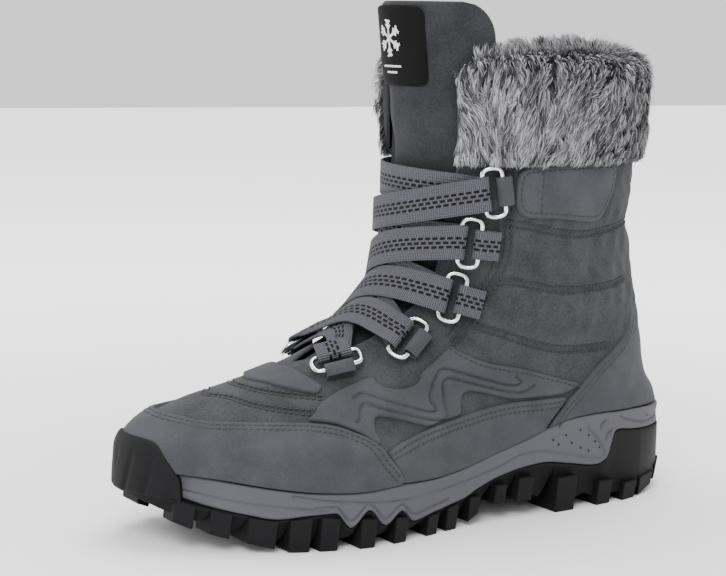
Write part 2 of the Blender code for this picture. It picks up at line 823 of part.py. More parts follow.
def midsole():
    _, lengths = sole_columns()
    top = sole_line(1, lengths)
    foot = sole_line(2, lengths) + CLEARANCE
    flare = toe_and_heel(-MIDSOLE_TOE_INSET, MIDSOLE_FLARE, MIDSOLE_FLARE)
    groove = flare - GROOVE_DEPTH
    middle = np.minimum(top - GROOVE_DROP, (top + foot) / 2)
    lip = np.minimum(0.0006, (middle - foot) / 3)
    rings = [
        sole_ring(flare - 0.0008, top),
        sole_ring(flare, top - 0.0010),
        sole_ring(flare, middle + lip),
        sole_ring(groove, middle),
        sole_ring(flare, middle - lip),
        sole_ring(flare, foot),
    ]
    ladder("midsole", rings, FOAM)


def outsole():
    _, lengths = sole_columns()
    top = sole_line(2, lengths)
    root = ground_line(lengths) + LUG_DEPTH
    toe_flare = CLEARANCE + BUMPER_WALL
    flare = toe_and_heel(toe_flare, OUTSOLE_FLARE, HEEL_FLARE)
    recess = flare - toe_and_heel(SOLE_RECESS, SOLE_RECESS, 0.0)
    rings = [
        sole_ring(flare - 0.0006, top),
        sole_ring(flare, top - 0.0008),
        sole_ring(recess, top - np.minimum(0.0022, (top - root) * 0.6)),
        sole_ring(recess, root),
    ]
    base = ladder("outsole", rings, RUBBER)
    join_to(base, lugs())


def sole_edge(share, side, out):
    """The sole's edge at a share of its length, on one side."""
    turn = side * math.acos(2 * share - 1)
    return last(np.array([turn]), height(SOLE_SECTION), out)[0]


def lugs():
    """All lugs in one mesh: blocks along both edges, and wide blocks down the middle."""
    points = []
    faces = []
    sides = ((0, 3, 2, 1), (4, 5, 6, 7), (0, 1, 5, 4), (1, 2, 6, 5), (2, 3, 7, 6), (3, 0, 4, 7))

    def block(plan, tops):
        centre = sum(plan) / 4
        start = len(points)
        for level in (0, 1):
            for corner, top in zip(plan, tops):
                length = np.array([MIDDLE - corner[1]])
                ground = float(ground_line(length)[0])
                spread = corner + (corner - centre) * LUG_DRAFT * level
                spread[1] -= LUG_LEAN * (1 - level)
                z = max(ground + LUG_DEPTH + LUG_RISE, top) if level else ground
                points.append((spread[0], spread[1], z))
        faces.extend(tuple(start + k for k in face) for face in sides)

    for start, end, reach, top in SIDE_LUGS:
        seats = sole_line(2, np.array([start, end, end, start]) * SOLE_LENGTH) - LUG_SEAT
        tops = np.minimum(top * HEEL_HEIGHT, seats)
        for side in (1, -1):
            flare = OUTSOLE_FLARE if 0.15 < start < 0.9 else HEEL_FLARE
            outer = [sole_edge(share, side, flare + LUG_PROUD) for share in (start, end)]
            inner = []
            for corner in (outer[1], outer[0]):
                inner.append(np.array([corner[0] * (1 - reach), corner[1], 0.0]))
            block([outer[0], outer[1], inner[0], inner[1]], tops)
    for middle, half_length, half_width in CENTRE_LUGS:
        width = half_width * BALL_WIDTH
        y = MIDDLE - SOLE_LENGTH * middle
        half = half_length * SOLE_LENGTH
        corners = [(-width, y + half), (-width * 0.8, y - half), (width * 0.8, y - half)]
        corners.append((width, y + half))
        block([np.array([x, along, 0.0]) for x, along in corners], [0.0] * 4)
    return add_solid("lugs", points, faces, RUBBER)


def insole():
    turns, lengths = sole_columns()
    floor = sole_line(1, lengths) + CLEARANCE
    rings = []
    for lift in (INSOLE_THICKNESS, 0.0):
        level = floor + lift
        ring = last(turns, np.maximum(level, height(SOLE_SECTION)), -WALL - INSOLE_MARGIN)
        ring[:, 2] = level
        rings.append(ring)
    ladder("insole", rings, FELT)


def tongue_point(turn, z, out):
    """A point of the tongue, whose middle leans forwards above the ankle."""
    points = last(turn, z, out)
    lean_from = height(1.6)
    share = np.clip((z - lean_from) / (TONGUE_TOP - lean_from), 0, 1)
    points[:, 1] -= TONGUE_LEAN * share**1.5 * np.cos(turn) ** 2
    return points


def tongue():
    outer_out = -(WALL + TONGUE_GAP)
    rounded = {TONGUE_TOP: 0.76, TONGUE_TOP - 0.004: 0.91, TONGUE_TOP - 0.011: 0.985}
    levels = (TONGUE_FOOT, *height([1.0, 1.06, 1.16, 1.3, 1.47, 1.66, 1.84, 2.0]), *sorted(rounded))
    columns = 8
    points = []
    for out in (outer_out, outer_out - TONGUE_THICKNESS):
        for z in levels:
            up = 1 + (z - VAMP_HEIGHT) / (COLLAR_HEIGHT - VAMP_HEIGHT)
            opening = float(throat_turn(np.array([min(max(up, 1.02), 2.0)]))[0])
            spare = np.interp(up, (0.9, 1.2, 1.6, 1.75, 2.0), (0.35, 0.24, 0.20, 0.17, 0.17))
            half = (opening + spare) * rounded.get(z, 1.0)
            turns = np.linspace(-half, half, columns + 1)
            taper = 0.0015 if z == TONGUE_TOP else 0.0
            side = 1 if out == outer_out else -1
            points += list(tongue_point(turns, np.full(turns.shape, z), out - side * taper))
    faces = sheet_faces(len(levels), columns + 1)
    return add_solid("tongue", points, faces, SUEDE)


def sheet_faces(rows, columns):
    """Faces of a slab whose front grid comes first and its back grid second."""
    back = rows * columns
    faces = []
    for row in range(rows - 1):
        for column in range(columns - 1):
            a = row * columns + column
            faces.append((a, a + 1, a + columns + 1, a + columns))
            faces.append((back + a, back + a + columns, back + a + columns + 1, back + a + 1))
    rim = [k for k in range(columns - 1)]
    rim += [columns - 1 + columns * k for k in range(rows - 1)]
    rim += [rows * columns - 1 - k for k in range(columns - 1)]
    rim += [columns * (rows - 1 - k) for k in range(rows - 1)]
    for a, b in zip(rim, rim[1:] + rim[:1]):
        faces.append((a, back + a, back + b, b))
    return faces


def tongue_label():
    """A woven label on the front of the tongue's top."""
    radius = SHAFT_WIDTH / 2
    half = LABEL_WIDTH / 2 / radius
    top = TONGUE_TOP - LABEL_DROP
    levels = np.linspace(top - LABEL_HEIGHT, top, 4)
    turns = np.linspace(-half, half, 7)
    points = []
    for out in (CLEARANCE + LABEL_THICKNESS, CLEARANCE):
        for z in levels:
            flat = np.full(turns.shape, z)
            points += list(tongue_point(turns, flat, -(WALL + TONGUE_GAP) + out))
    add_solid("tongue_label", points, sheet_faces(4, 7), LABEL)


def cuff_slimness(turns):
    """The roll thins towards its front ends; this is its share of the full thickness."""
    from_front = np.minimum(turns, 2 * math.pi - turns)
    return np.interp(from_front, (CUFF_FRONT_TURN, CUFF_FULL_TURN), (0.72, 1.0))


def fur_cuff():
    """A fur roll outside the collar and over its rim, open at the throat, with hanging locks."""
    rim = float(height(ROWS[-1][0])) + CLEARANCE
    depth = CUFF_THICKNESS
    profile = (
        # out, height, share of the top's rise, whether it turns in over the rim
        (CUFF_GAP, CUFF_BOTTOM - 0.001, 0.0, 0),
        (depth * 0.5, CUFF_BOTTOM - 0.002, 0.0, 0),
        (depth * 0.85, CUFF_BOTTOM + 0.005, 0.0, 0),
        (depth, CUFF_BOTTOM + 0.017, 0.0, 0),
        (depth, CUFF_TOP - 0.019, 0.4, 0),
        (depth * 0.8, CUFF_TOP - 0.007, 0.9, 0),
        (depth * 0.3, CUFF_TOP - 0.001, 1.0, 0),
        (-CUFF_ROLL * 0.4, CUFF_TOP, 1.0, 1),
        (-CUFF_ROLL * 0.95, CUFF_TOP - 0.004, 0.8, 1),
        (-CUFF_ROLL, rim + 0.001, 0.0, 1),
        (CUFF_GAP, rim, 0.0, 0),
    )
    turns = np.linspace(CUFF_FRONT_TURN, 2 * math.pi - CUFF_FRONT_TURN, CUFF_COLUMNS + 1)
    from_front = np.minimum(turns, 2 * math.pi - turns)
    turned = np.interp(from_front, (CUFF_OPEN_TURN, CUFF_FULL_TURN), (0.12, 1.0))
    rise_table = np.array(CUFF_RISE)
    rise = np.interp(turns, np.radians(rise_table[:, 0]), rise_table[:, 1])
    slim = cuff_slimness(turns)
    rings = []
    for out, z, lifted, turns_in in profile:
        reach = out * (turned if turns_in else slim)
        reach = np.maximum(reach, CUFF_GAP) if out > 0 else reach
        rings.append(last(turns, z + rise * lifted, reach))
    count = len(turns)
    points = [point for ring in rings for point in ring]
    faces = []
    for k in range(len(rings)):
        here, there = k * count, (k + 1) % len(rings) * count
        for column in range(count - 1):
            faces.append((here + column, here + column + 1, there + column + 1, there + column))
    for column in (0, count - 1):
        faces.append(tuple(k * count + column for k in range(len(rings))))
    cuff = add_solid("fur_cuff", points, faces, FUR)
    join_to(cuff, fur_locks())


def fur_locks():
    """Pointed locks, each a slim pyramid rooted in the roll and combed down and forwards."""
    rows = (
        # height of the root above the cuff's foot, out of the tip, length as a share
        (0.004, 0.0042, 1.0),
        (0.026, 0.0092, 0.9),
    )
    girth = SHAFT_WIDTH / 2 + CUFF_THICKNESS
    step = LOCK_PITCH / girth
    top_ring = RINGS[0]
    ring_turn = float(turn_at(top_ring[2] * SOLE_LENGTH, height(top_ring[3]))[0])
    beside_ring = (RING_WIDTH + LOCK_PITCH) / 2 / girth
    points = []
    faces = []
    for number, (lift, tip_out, share) in enumerate(rows):
        turn = CUFF_FRONT_TURN + step * (0.7 + 0.5 * (number % 2))
        while turn < 2 * math.pi - CUFF_FRONT_TURN - step * 0.7:
            if number == 0 and abs(turn - ring_turn) < beside_ring:
                turn += step
                continue
            z = CUFF_BOTTOM + lift
            half = step * 0.40
            slim = float(cuff_slimness(turn))
            root = CUFF_THICKNESS * slim * (0.45 if number == 0 else 0.75)
            corners = ((-half, 0.0035, root), (half, 0.0035, root))
            corners += ((half, -0.001, root), (-half, -0.001, root))
            start = len(points)
            for across, up, out in corners:
                points.append(last(np.array([turn + across]), z + up, out)[0])
            sway = -0.35 * step
            tip = last(np.array([turn + sway]), z - LOCK_LENGTH * share, tip_out * slim)[0]
            crest = last(np.array([turn]), z + 0.001, root + 0.0035)[0]
            points.extend((tip, crest))
            for a, b, c in ((0, 1, 5), (1, 2, 5), (2, 4, 5), (4, 3, 5), (3, 0, 5)):
                faces.append((start + a, start + b, start + c))
            for a, b, c in ((0, 2, 1), (0, 3, 2), (2, 3, 4)):
                faces.append((start + a, start + b, start + c))
            turn += step
    return add_solid("locks", points, faces, FUR)


def ring_frame(side, along, up, lean):
    """Centre of a ring, its long axis, the way out from the throat, and its place."""
    z = float(height(up))
    length = along * SOLE_LENGTH

    def surface(ahead, above):
        turn = side * turn_at(length + ahead, z + above)
        return last(turn, z + above, RING_OUT)[0]

    step = 0.001
    lean = math.radians(lean)
    ahead, above = step * math.sin(lean), step * math.cos(lean)
    axis = surface(ahead, above) - surface(-ahead, -above)
    axis /= np.linalg.norm(axis)
    turn = side * float(turn_at(length, z)[0])
    centre = surface(0.0, 0.0)
    normal = centre - last(np.array([turn]), z, 0.0)[0]
    normal /= np.linalg.norm(normal)
    axis -= normal * axis.dot(normal)
    axis /= np.linalg.norm(axis)
    away = np.cross(axis, normal) * side
    return {
        "side": side,
        "centre": centre,
        "axis": axis,
        "away": away,
        "normal": normal,
        "turn": turn,
        "z": z,
    }


def below(point, turn, z):
    """Turn and height of the surface right below a point, found from a place near it."""
    near = 0.001
    for _ in range(5):
        turned = last(np.array([turn - 0.01, turn + 0.01]), z)
        raised = last(np.array([turn, turn]), np.array([z - near, z + near]))
        slopes = [(turned[1] - turned[0]) / 0.02, (raised[1] - raised[0]) / (2 * near)]
        off = point - last(np.array([turn]), z)[0]
        move, *_ = np.linalg.lstsq(np.stack(slopes, axis=1), off, rcond=None)
        turn, z = turn + float(move[0]), z + float(move[1])
    return turn, z


def wire_ring(name, frame):
    """A long ring of round wire: two straight runs and two rounded ends."""
    radius = (RING_WIDTH - WIRE) / 2
    half = (RING_LENGTH - WIRE) / 2 - RING_END
    path = []
    for end in (1, -1):
        for k in range(4):
            angle = math.pi * k / 3
            across = end * radius * math.cos(angle)
            lengthwise = end * (half + RING_END * math.sin(angle))
            path.append((across, lengthwise, end * math.cos(angle), end * math.sin(angle)))
    sides = 6
    points = []
    for across, lengthwise, out_across, out_length in path:
        centre = frame["centre"] + frame["away"] * across + frame["axis"] * lengthwise
        outward = frame["away"] * out_across + frame["axis"] * out_length
        for k in range(sides):
            angle = 2 * math.pi * k / sides
            offset = outward * math.cos(angle) + frame["normal"] * math.sin(angle)
            points.append(centre + offset * WIRE / 2)
    faces = []
    for k in range(len(path)):
        here, there = k * sides, (k + 1) % len(path) * sides
        for j in range(sides):
            nxt = (j + 1) % sides
            faces.append((here + j, here + nxt, there + nxt, there + j))
    add_solid(name, points, faces, CHROME)


def ribbon(name, stations, width, thickness, finish):
    """A flat strip along stations of centre and width direction."""
    centres = np.array([station[0] for station in stations])
    widths = np.array([station[1] for station in stations])
    tangents = np.gradient(centres, axis=0)
    normals = np.cross(widths, tangents)
    normals /= np.linalg.norm(normals, axis=1, keepdims=True)
    points = []
    for centre, across, normal in zip(centres, widths, normals):
        for a, b in ((-1, -1), (1, -1), (1, 1), (-1, 1)):
            points.append(centre + across * a * width / 2 + normal * b * thickness / 2)
    faces = [(0, 1, 2, 3)]
    for k in range(len(stations) - 1):
        for j in range(4):
            a, b = k * 4 + j, k * 4 + (j + 1) % 4
            faces.append((a, b, b + 4, a + 4))
    end = (len(stations) - 1) * 4
    faces.append((end + 3, end + 2, end + 1, end))
    return add_solid(name, points, faces, finish)


def keeper(name, frame, reach):
    """A short loop that holds the ring's outer run and ends on the upper, away from the throat."""
    radius = (RING_WIDTH - WIRE) / 2
    wire = frame["centre"] + frame["away"] * radius
    loop = WIRE / 2 + WIRE_CLEARANCE + KEEPER_THICKNESS / 2

    def anchor(distance, out):
        point = wire + frame["away"] * distance
        turn, z = below(point, frame["turn"], frame["z"])
        return last(np.array([turn]), z, out)[0]

    low = RING_OUT - loop
    stacked = low + KEEPER_THICKNESS + CLEARANCE
    stations = [(anchor(reach, low), frame["axis"]), (anchor(reach / 2, low), frame["axis"])]
    for k in range(6):
        angle = -math.pi / 2 - math.pi * k / 4
        point = wire + (frame["away"] * math.cos(angle) + frame["normal"] * math.sin(angle)) * loop
        stations.append((point, frame["axis"]))
    stations.append((anchor(reach, stacked + 0.0004), frame["axis"]))
    ribbon(name, stations, KEEPER_WIDTH, KEEPER_THICKNESS, NUBUCK)


def webbing(frames):
    """One ribbon from the medial seam through all the rings, sewn back on itself at the last."""
    radius = (RING_WIDTH - WIRE) / 2
    loop = WIRE / 2 + WIRE_CLEARANCE + WEB_THICKNESS / 2
    low = RING_OUT - loop
    high = RING_OUT + loop
    upright = np.array([0.0, 0.0, 1.0])
    stations = []

    def wire_chart(frame):
        point = frame["centre"] - frame["away"] * radius
        return below(point, frame["turn"], frame["z"])

    def crossing(start, end, ridge, out, peak):
        """Stations across the front, from one chart place to another over the ridge."""
        places = []
        for share in (0.10, 0.23, 0.36, 0.5, 0.64, 0.77, 0.90):
            turn = start[0] + (end[0] - start[0]) * share
            towards = 1 - abs(turn) / max(abs(start[0]), abs(end[0]))
            z = start[1] + (end[1] - start[1]) * share
            middle = (start[1] + end[1]) / 2
            z += (ridge - middle) * math.sin(math.pi * share)
            lift = out + (peak - out) * min(1.0, 1.6 * towards)
            width = start[2] * (1 - share) + end[2] * share
            point = last(np.array([turn]), z, lift)[0]
            ahead = last(np.array([turn]), z + 0.001, lift)[0] - point
            ahead /= np.linalg.norm(ahead)
            weight = min(1.0, 2 * towards)
            width = width * (1 - weight) + ahead * weight
            places.append((point, width / np.linalg.norm(width)))
        return places

    for source, target, ridge, way in PASSES:
        ridge_z = float(height(ridge))
        if source is None:
            begin = (-WEB_END_TURN, float(height(WEB_END_UP)), upright)
            stations.append((last(np.array([begin[0]]), begin[1], low)[0], upright))
        else:
            begin = (*wire_chart(frames[source]), frames[source]["axis"])
        goal = frames[target]
        end = (*wire_chart(goal), goal["axis"])
        flat, peak = (low, UNDER_LIFT) if way == "under" else (high, OVER_LIFT)
        stations += crossing(begin, end, ridge_z, flat, peak)
        wire = goal["centre"] - goal["away"] * radius
        turns_up = 1 if way == "under" else -1
        for k in range(5):
            angle = turns_up * (-math.pi / 2 + math.pi * k / 4)
            point = goal["away"] * math.cos(angle) + goal["normal"] * math.sin(angle)
            stations.append((wire + point * loop, goal["axis"]))
    tail = wire + goal["normal"] * loop - goal["away"] * WEB_TAIL
    stations.append((tail, goal["axis"]))
    ribbon("webbing", stations, WEB_WIDTH, WEB_THICKNESS, TAPE)


def lacing():
    frames = {}
    for name, side, along, up, lean, reach in RINGS:
        frame = ring_frame(side, along, up, lean)
        frames[name] = frame
        wire_ring("ring_" + name, frame)
        keeper("keeper_" + name, frame, reach)
    webbing(frames)


for old in list(bpy.data.objects):
    bpy.data.objects.remove(old)

RUBBER = material("moulded rubber", (0.022, 0.022, 0.026), 0.6)
FOAM = material("moulded foam", (0.155, 0.150, 0.175), 0.65)
NUBUCK = material("nubuck", (0.075, 0.077, 0.083), 0.85)
SUEDE = material("suede", (0.055, 0.057, 0.062), 0.95)
FELT = material("felt", (0.12, 0.12, 0.12), 0.95)
FUR = material("faux fur", (0.30, 0.30, 0.30), 0.9)
TAPE = material("woven tape", (0.19, 0.185, 0.205), 0.8)
CHROME = material("chromed steel", (0.8, 0.8, 0.82), 0.15, 1.0)
LABEL = material("woven label", (0.015, 0.015, 0.017), 0.7)

outsole()
midsole()
insole()
upper()
toe_bumper()
overlays()
tongue()
tongue_label()
fur_cuff()
lacing()
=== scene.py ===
import math

import bpy
import numpy as np
from mathutils import Matrix, Vector, kdtree
from mathutils.geometry import delaunay_2d_cdt


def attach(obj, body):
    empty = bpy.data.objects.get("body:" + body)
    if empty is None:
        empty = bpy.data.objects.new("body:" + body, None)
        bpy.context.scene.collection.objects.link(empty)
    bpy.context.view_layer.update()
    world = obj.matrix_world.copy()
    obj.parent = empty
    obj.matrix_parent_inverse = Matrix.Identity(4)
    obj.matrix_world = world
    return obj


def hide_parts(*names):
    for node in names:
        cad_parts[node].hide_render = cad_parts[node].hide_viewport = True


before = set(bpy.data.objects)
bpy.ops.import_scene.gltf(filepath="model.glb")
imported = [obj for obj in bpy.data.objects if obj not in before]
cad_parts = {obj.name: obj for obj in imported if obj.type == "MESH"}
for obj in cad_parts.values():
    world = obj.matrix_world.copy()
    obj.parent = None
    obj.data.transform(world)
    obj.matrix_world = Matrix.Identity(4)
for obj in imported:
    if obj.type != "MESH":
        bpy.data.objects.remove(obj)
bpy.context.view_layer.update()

# Form of the boot
# The shell is drawn over a last: a foot section that leans to the inside at the toe and a
# nearly straight shaft. All the pieces below are laid out on this one surface.

SOLE = 0.279
BALL = 0.104
HEEL = 0.078
VAMP = 0.072
COLLAR = 0.205
SHAFT_WIDTH = 0.092
SHAFT_DEPTH = 0.127
SHAFT_BACK = 0.023
TOE_SHIFT = 0.008
WALL = 0.0024
HEEL_RISE = 0.0435
MIDDLE = 0.14

TURNS = np.radians([0, 40, 65, 95, 135, 180])
FOOT_SECTIONS = (
    # height, front, back, toe, forefoot, ball, waist, heel side, heel back, medial blend
    (0.139, 1.007, 0.007, 1.090, 1.070, 1.070, 1.045, 1.300, 1.760, 1.00),
    (0.333, 1.007, 0.007, 1.105, 1.080, 1.080, 1.050, 1.300, 1.780, 1.00),
    (0.556, 1.004, 0.009, 1.100, 1.100, 1.105, 1.070, 1.285, 1.730, 1.00),
    (0.667, 0.986, 0.018, 0.985, 1.000, 0.975, 1.045, 1.290, 1.680, 0.90),
    (0.792, 0.926, 0.038, 0.750, 0.790, 0.830, 1.035, 1.290, 1.580, 0.80),
    (0.889, 0.826, 0.046, 0.700, 0.745, 0.775, 1.015, 1.265, 1.475, 0.65),
    (1.000, 0.726, 0.051, 0.645, 0.760, 0.785, 1.010, 1.205, 1.400, 0.50),
)
SHAFT_SECTIONS = (
    # height, front, back, toe, front side, side, side, heel side, heel back, medial blend
    (1.120, 1.170, -0.035, 0.715, 0.800, 0.850, 0.875, 0.990, 1.120, 0.30),
    (1.286, 1.030, 0.008, 0.780, 0.845, 0.895, 0.905, 0.970, 1.035, 0.15),
    (1.466, 1.004, 0.030, 0.825, 0.890, 0.930, 0.940, 0.980, 1.035, 0.10),
    (1.662, 1.000, 0.025, 0.870, 0.935, 0.965, 0.975, 0.995, 1.035, 0.00),
    (2.000, 1.020, 0.008, 0.950, 0.995, 1.015, 1.015, 1.015, 1.035, 0.00),
)
MEDIAL_SHARES = np.array([0.86, 0.93, 0.84, 0.855, 0.97, 1.0])


def smooth(xs, ys, x):
    """The monotone cubic through a table."""
    xs = np.asarray(xs, float)
    ys = np.asarray(ys, float)
    x = np.clip(np.atleast_1d(np.asarray(x, float)), xs[0], xs[-1])
    if ys.ndim == 1:
        ys = np.repeat(ys[:, None], x.size, axis=1)
    step = np.diff(xs)[:, None]
    rise = np.diff(ys, axis=0) / step
    steady = rise[:-1] * rise[1:] > 0
    before = np.where(steady, rise[:-1], 1.0)
    after = np.where(steady, rise[1:], 1.0)
    near = 2 * step[1:] + step[:-1]
    far = step[1:] + 2 * step[:-1]
    slope = np.empty_like(ys)
    slope[0] = rise[0]
    slope[-1] = rise[-1]
    slope[1:-1] = np.where(steady, (near + far) / (near / before + far / after), 0.0)
    k = np.clip(np.searchsorted(xs, x, side="right") - 1, 0, len(xs) - 2)
    n = np.arange(x.size)
    h = step[k, 0]
    t = (x - xs[k]) / h
    start = ys[k, n] * (1 + 2 * t) * (1 - t) ** 2 + h * slope[k, n] * t * (1 - t) ** 2
    end = ys[k + 1, n] * t * t * (3 - 2 * t) + h * slope[k + 1, n] * t * t * (t - 1)
    return start + end


def height(up):
    """Metres above the ground for the height scale: 0 ground, 1 vamp, 2 collar."""
    up = np.asarray(up, float)
    return np.where(up < 1, VAMP * up, VAMP + (COLLAR - VAMP) * (up - 1))


def section_table():
    rows = []
    for up, front, back, *widths, blend in FOOT_SECTIONS:
        scale = [BALL] * 3 + [HEEL] * 3
        half = [share * size / 2 for share, size in zip(widths, scale)]
        rows.append([height(up), SOLE * front, SOLE * back, *half, blend])
    for up, front, back, *widths, blend in SHAFT_SECTIONS:
        half = [share * SHAFT_WIDTH / 2 for share in widths]
        ends = [SHAFT_BACK + SHAFT_DEPTH * share for share in (front, back)]
        rows.append([height(up), *ends, *half, blend])
    return np.array(rows, float)


SECTIONS = section_table()


def plain_last(turn, z):
    """The shell's outside; turn is 0 at the toe, pi at the heel, plus on the lateral side."""
    turn = np.mod(turn + np.pi, 2 * np.pi) - np.pi
    angle = np.abs(turn)
    front, back, *widths, blend = [smooth(SECTIONS[:, 0], SECTIONS[:, c], z) for c in range(1, 10)]
    radius = smooth(TURNS, np.array(widths), angle)
    medial = 1 - blend + blend * smooth(TURNS, MEDIAL_SHARES, angle)
    radius = np.where(turn < 0, radius * medial, radius)
    shift = TOE_SHIFT * blend * np.cos(np.minimum(angle, np.pi / 2)) ** 2
    x = np.sign(turn) * radius * np.sin(angle) - shift
    along = back + (front - back) * (1 + np.cos(angle)) / 2
    return np.stack([x, MIDDLE - along, z], axis=-1)


def last(turn, z, out=0.0, with_normal=False):
    """The shell moved outwards along its normal by out."""
    turn, z = np.broadcast_arrays(np.atleast_1d(np.asarray(turn, float)), np.asarray(z, float))
    across = plain_last(turn + 0.01, z) - plain_last(turn - 0.01, z)
    upward = plain_last(turn, z + 0.0005) - plain_last(turn, z - 0.0005)
    normal = np.cross(across, upward)
    normal /= np.linalg.norm(normal, axis=-1, keepdims=True)
    points = plain_last(turn, z) + normal * np.reshape(out, (-1, 1))
    return (points, normal) if with_normal else points


def turn_at(along, z):
    """The turn, on the lateral side, of a point at a length from the heel and a height."""
    front, back = [smooth(SECTIONS[:, 0], SECTIONS[:, c], z) for c in (1, 2)]
    return np.arccos(np.clip(2 * (along - back) / (front - back) - 1, -1, 1))


def chart(places, side=1):
    """Turn and height of places given in mm: length from the back of the heel, and height."""
    places = np.array(places, float) / 1000
    return np.stack([side * turn_at(places[:, 0] - 0.002, places[:, 1]), places[:, 1]], axis=1)


def measure(places):
    """The two directions of the surface, in metres for each radian and each metre of height."""
    turn, z = places[:, 0], places[:, 1]
    by_turn = (last(turn + 0.004, z) - last(turn - 0.004, z)) / 0.008
    by_height = (last(turn, z + 0.0004) - last(turn, z - 0.0004)) / 0.0008
    return by_turn, by_height


def even(places, step, closed=False):
    """The line through places, rounded at its corners and with a place at each step in metres."""
    line = np.array(places, float)
    for _ in range(2):
        ahead = np.roll(line, -1, axis=0) if closed else line[1:]
        here = line if closed else line[:-1]
        cut = np.stack([here * 0.78 + ahead * 0.22, here * 0.22 + ahead * 0.78], axis=1).reshape(-1, 2)
        line = cut if closed else np.concatenate([line[:1], cut, line[-1:]])
    if closed:
        line = np.concatenate([line, line[:1]])
    fine = np.concatenate([np.linspace(a, b, 6)[:-1] for a, b in zip(line, line[1:])] + [line[-1:]])
    real = last(fine[:, 0], fine[:, 1])
    run = np.concatenate([[0], np.cumsum(np.linalg.norm(np.diff(real, axis=0), axis=1))])
    count = max(4, int(round(run[-1] / step)))
    stops = np.linspace(0, run[-1], count + 1)
    made = np.stack([np.interp(stops, run, fine[:, k]) for k in (0, 1)], axis=1)
    return made[:-1] if closed else made


def shifted(line, distance, closed=False):
    """A line moved sideways on the surface, to its left for a plus distance in metres."""
    if closed:
        along = (np.roll(line, -1, axis=0) - np.roll(line, 1, axis=0)) / 2
    else:
        along = np.gradient(line, axis=0)
    by_turn, by_height = measure(line)
    tangent = by_turn * along[:, :1] + by_height * along[:, 1:]
    normal = np.cross(by_turn, by_height)
    left = np.cross(normal, tangent)
    left /= np.linalg.norm(left, axis=1, keepdims=True)
    a = (by_turn**2).sum(1)
    b = (by_turn * by_height).sum(1)
    c = (by_height**2).sum(1)
    p = (by_turn * left).sum(1)
    q = (by_height * left).sum(1)
    whole = a * c - b * b
    move = np.stack([(c * p - b * q) / whole, (a * q - b * p) / whole], axis=1)
    return line + move * distance


def linear(colour):
    """Linear values of an sRGB hex colour."""
    parts = [int(colour[k : k + 2], 16) / 255 for k in (1, 3, 5)]
    return [c / 12.92 if c <= 0.04045 else ((c + 0.055) / 1.055) ** 2.4 for c in parts] + [1.0]


def node(tree, kind, links=(), **values):
    """Adds a shader node: values set its properties or its sockets, links join its inputs."""
    made = tree.nodes.new(kind)
    for name, value in values.items():
        if hasattr(made, name):
            setattr(made, name, value)
        else:
            made.inputs[name.replace("_", " ")].default_value = value
    for socket, source in links:
        tree.links.new(source, made.inputs[socket])
    return made


def new_material(name):
    made = bpy.data.materials.new(name)
    made.use_nodes = True
    tree = made.node_tree
    return made, tree, tree.nodes["Principled BSDF"]


def new_mesh(name, points, faces, material, smooth_faces=True):
    mesh = bpy.data.meshes.new(name)
    mesh.from_pydata(np.asarray(points, float).tolist(), [], [tuple(map(int, f)) for f in faces])
    mesh.polygons.foreach_set("use_smooth", [smooth_faces] * len(mesh.polygons))
    mesh.materials.append(material)
    mesh.update()
    piece = bpy.data.objects.new(name, mesh)
    bpy.context.scene.collection.objects.link(piece)
    return piece


def grid_faces(rows, columns, start=0, closed=False, flip=False):
    """Quads between the points of a grid kept row by row."""
    r = np.arange(rows - 1)[:, None]
    c = np.arange(columns if closed else columns - 1)[None, :]
    a = r * columns + c
    b = r * columns + (c + 1) % columns
    quads = np.stack([a, b, b + columns, a + columns], axis=-1).reshape(-1, 4) + start
    return quads[:, ::-1] if flip else quads


def grained(name, dark, light, grain_mm, depth_mm, nap=0.0, roughness=0.85):
    """Leather or cloth: two close shades in soft patches, with a fine raised grain."""
    made, tree, shader = new_material(name)
    place = node(tree, "ShaderNodeTexCoord")
    patches = node(tree, "ShaderNodeTexNoise", [("Vector", place.outputs["Object"])], Scale=70.0, Detail=5.0)
    grain = node(
        tree, "ShaderNodeTexNoise", [("Vector", place.outputs["Object"])], Scale=1000.0 / grain_mm, Detail=3.0
    )
    mixed = node(tree, "ShaderNodeMath", [(0, patches.outputs["Fac"]), (1, grain.outputs["Fac"])], operation="ADD")
    ramp = node(tree, "ShaderNodeMapRange", [("Value", mixed.outputs[0])], From_Min=0.75, From_Max=1.25)
    colour = node(tree, "ShaderNodeMix", [("Factor", ramp.outputs[0])], data_type="RGBA")
    for socket, value in (("A", linear(dark)), ("B", linear(light))):
        [i for i in colour.inputs if i.name == socket and i.type == "RGBA"][0].default_value = value
    tree.links.new([o for o in colour.outputs if o.type == "RGBA"][0], shader.inputs["Base Color"])
    bump = node(
        tree, "ShaderNodeBump", [("Height", grain.outputs["Fac"])], Strength=0.6, Distance=depth_mm / 1000
    )
    tree.links.new(bump.outputs["Normal"], shader.inputs["Normal"])
    shader.inputs["Roughness"].default_value = roughness
    shader.inputs["Specular IOR Level"].default_value = 0.12
    shader.inputs["Sheen Weight"].default_value = nap
    shader.inputs["Sheen Roughness"].default_value = 0.6
    return made


SUEDE = grained("grey suede", "#28292b", "#3c3d40", 0.9, 0.16, nap=0.06, roughness=0.95)
# The tongue's own darker copy of the suede is painted shade, for the tongue that sits in shadow behind the webbing and
# collar.
SHADED_TONGUE_SUEDE = grained("tongue suede with painted shade", "#212224", "#303134", 0.9, 0.16, nap=0.04, roughness=0.95)
NUBUCK = grained("grey nubuck", "#34353a", "#424347", 0.45, 0.05, nap=0.04, roughness=0.8)

# Stitching
# All the seams are sewn with one dark bonded thread, about 0.7 mm thick, in stitches of 2.6 mm.

THREAD_PITCH = 0.0026
thread, thread_tree, thread_shader = new_material("dark bonded thread")
thread_shader.inputs["Base Color"].default_value = linear("#161618")
thread_shader.inputs["Roughness"].default_value = 0.6
stitch_points = []
stitch_faces = []


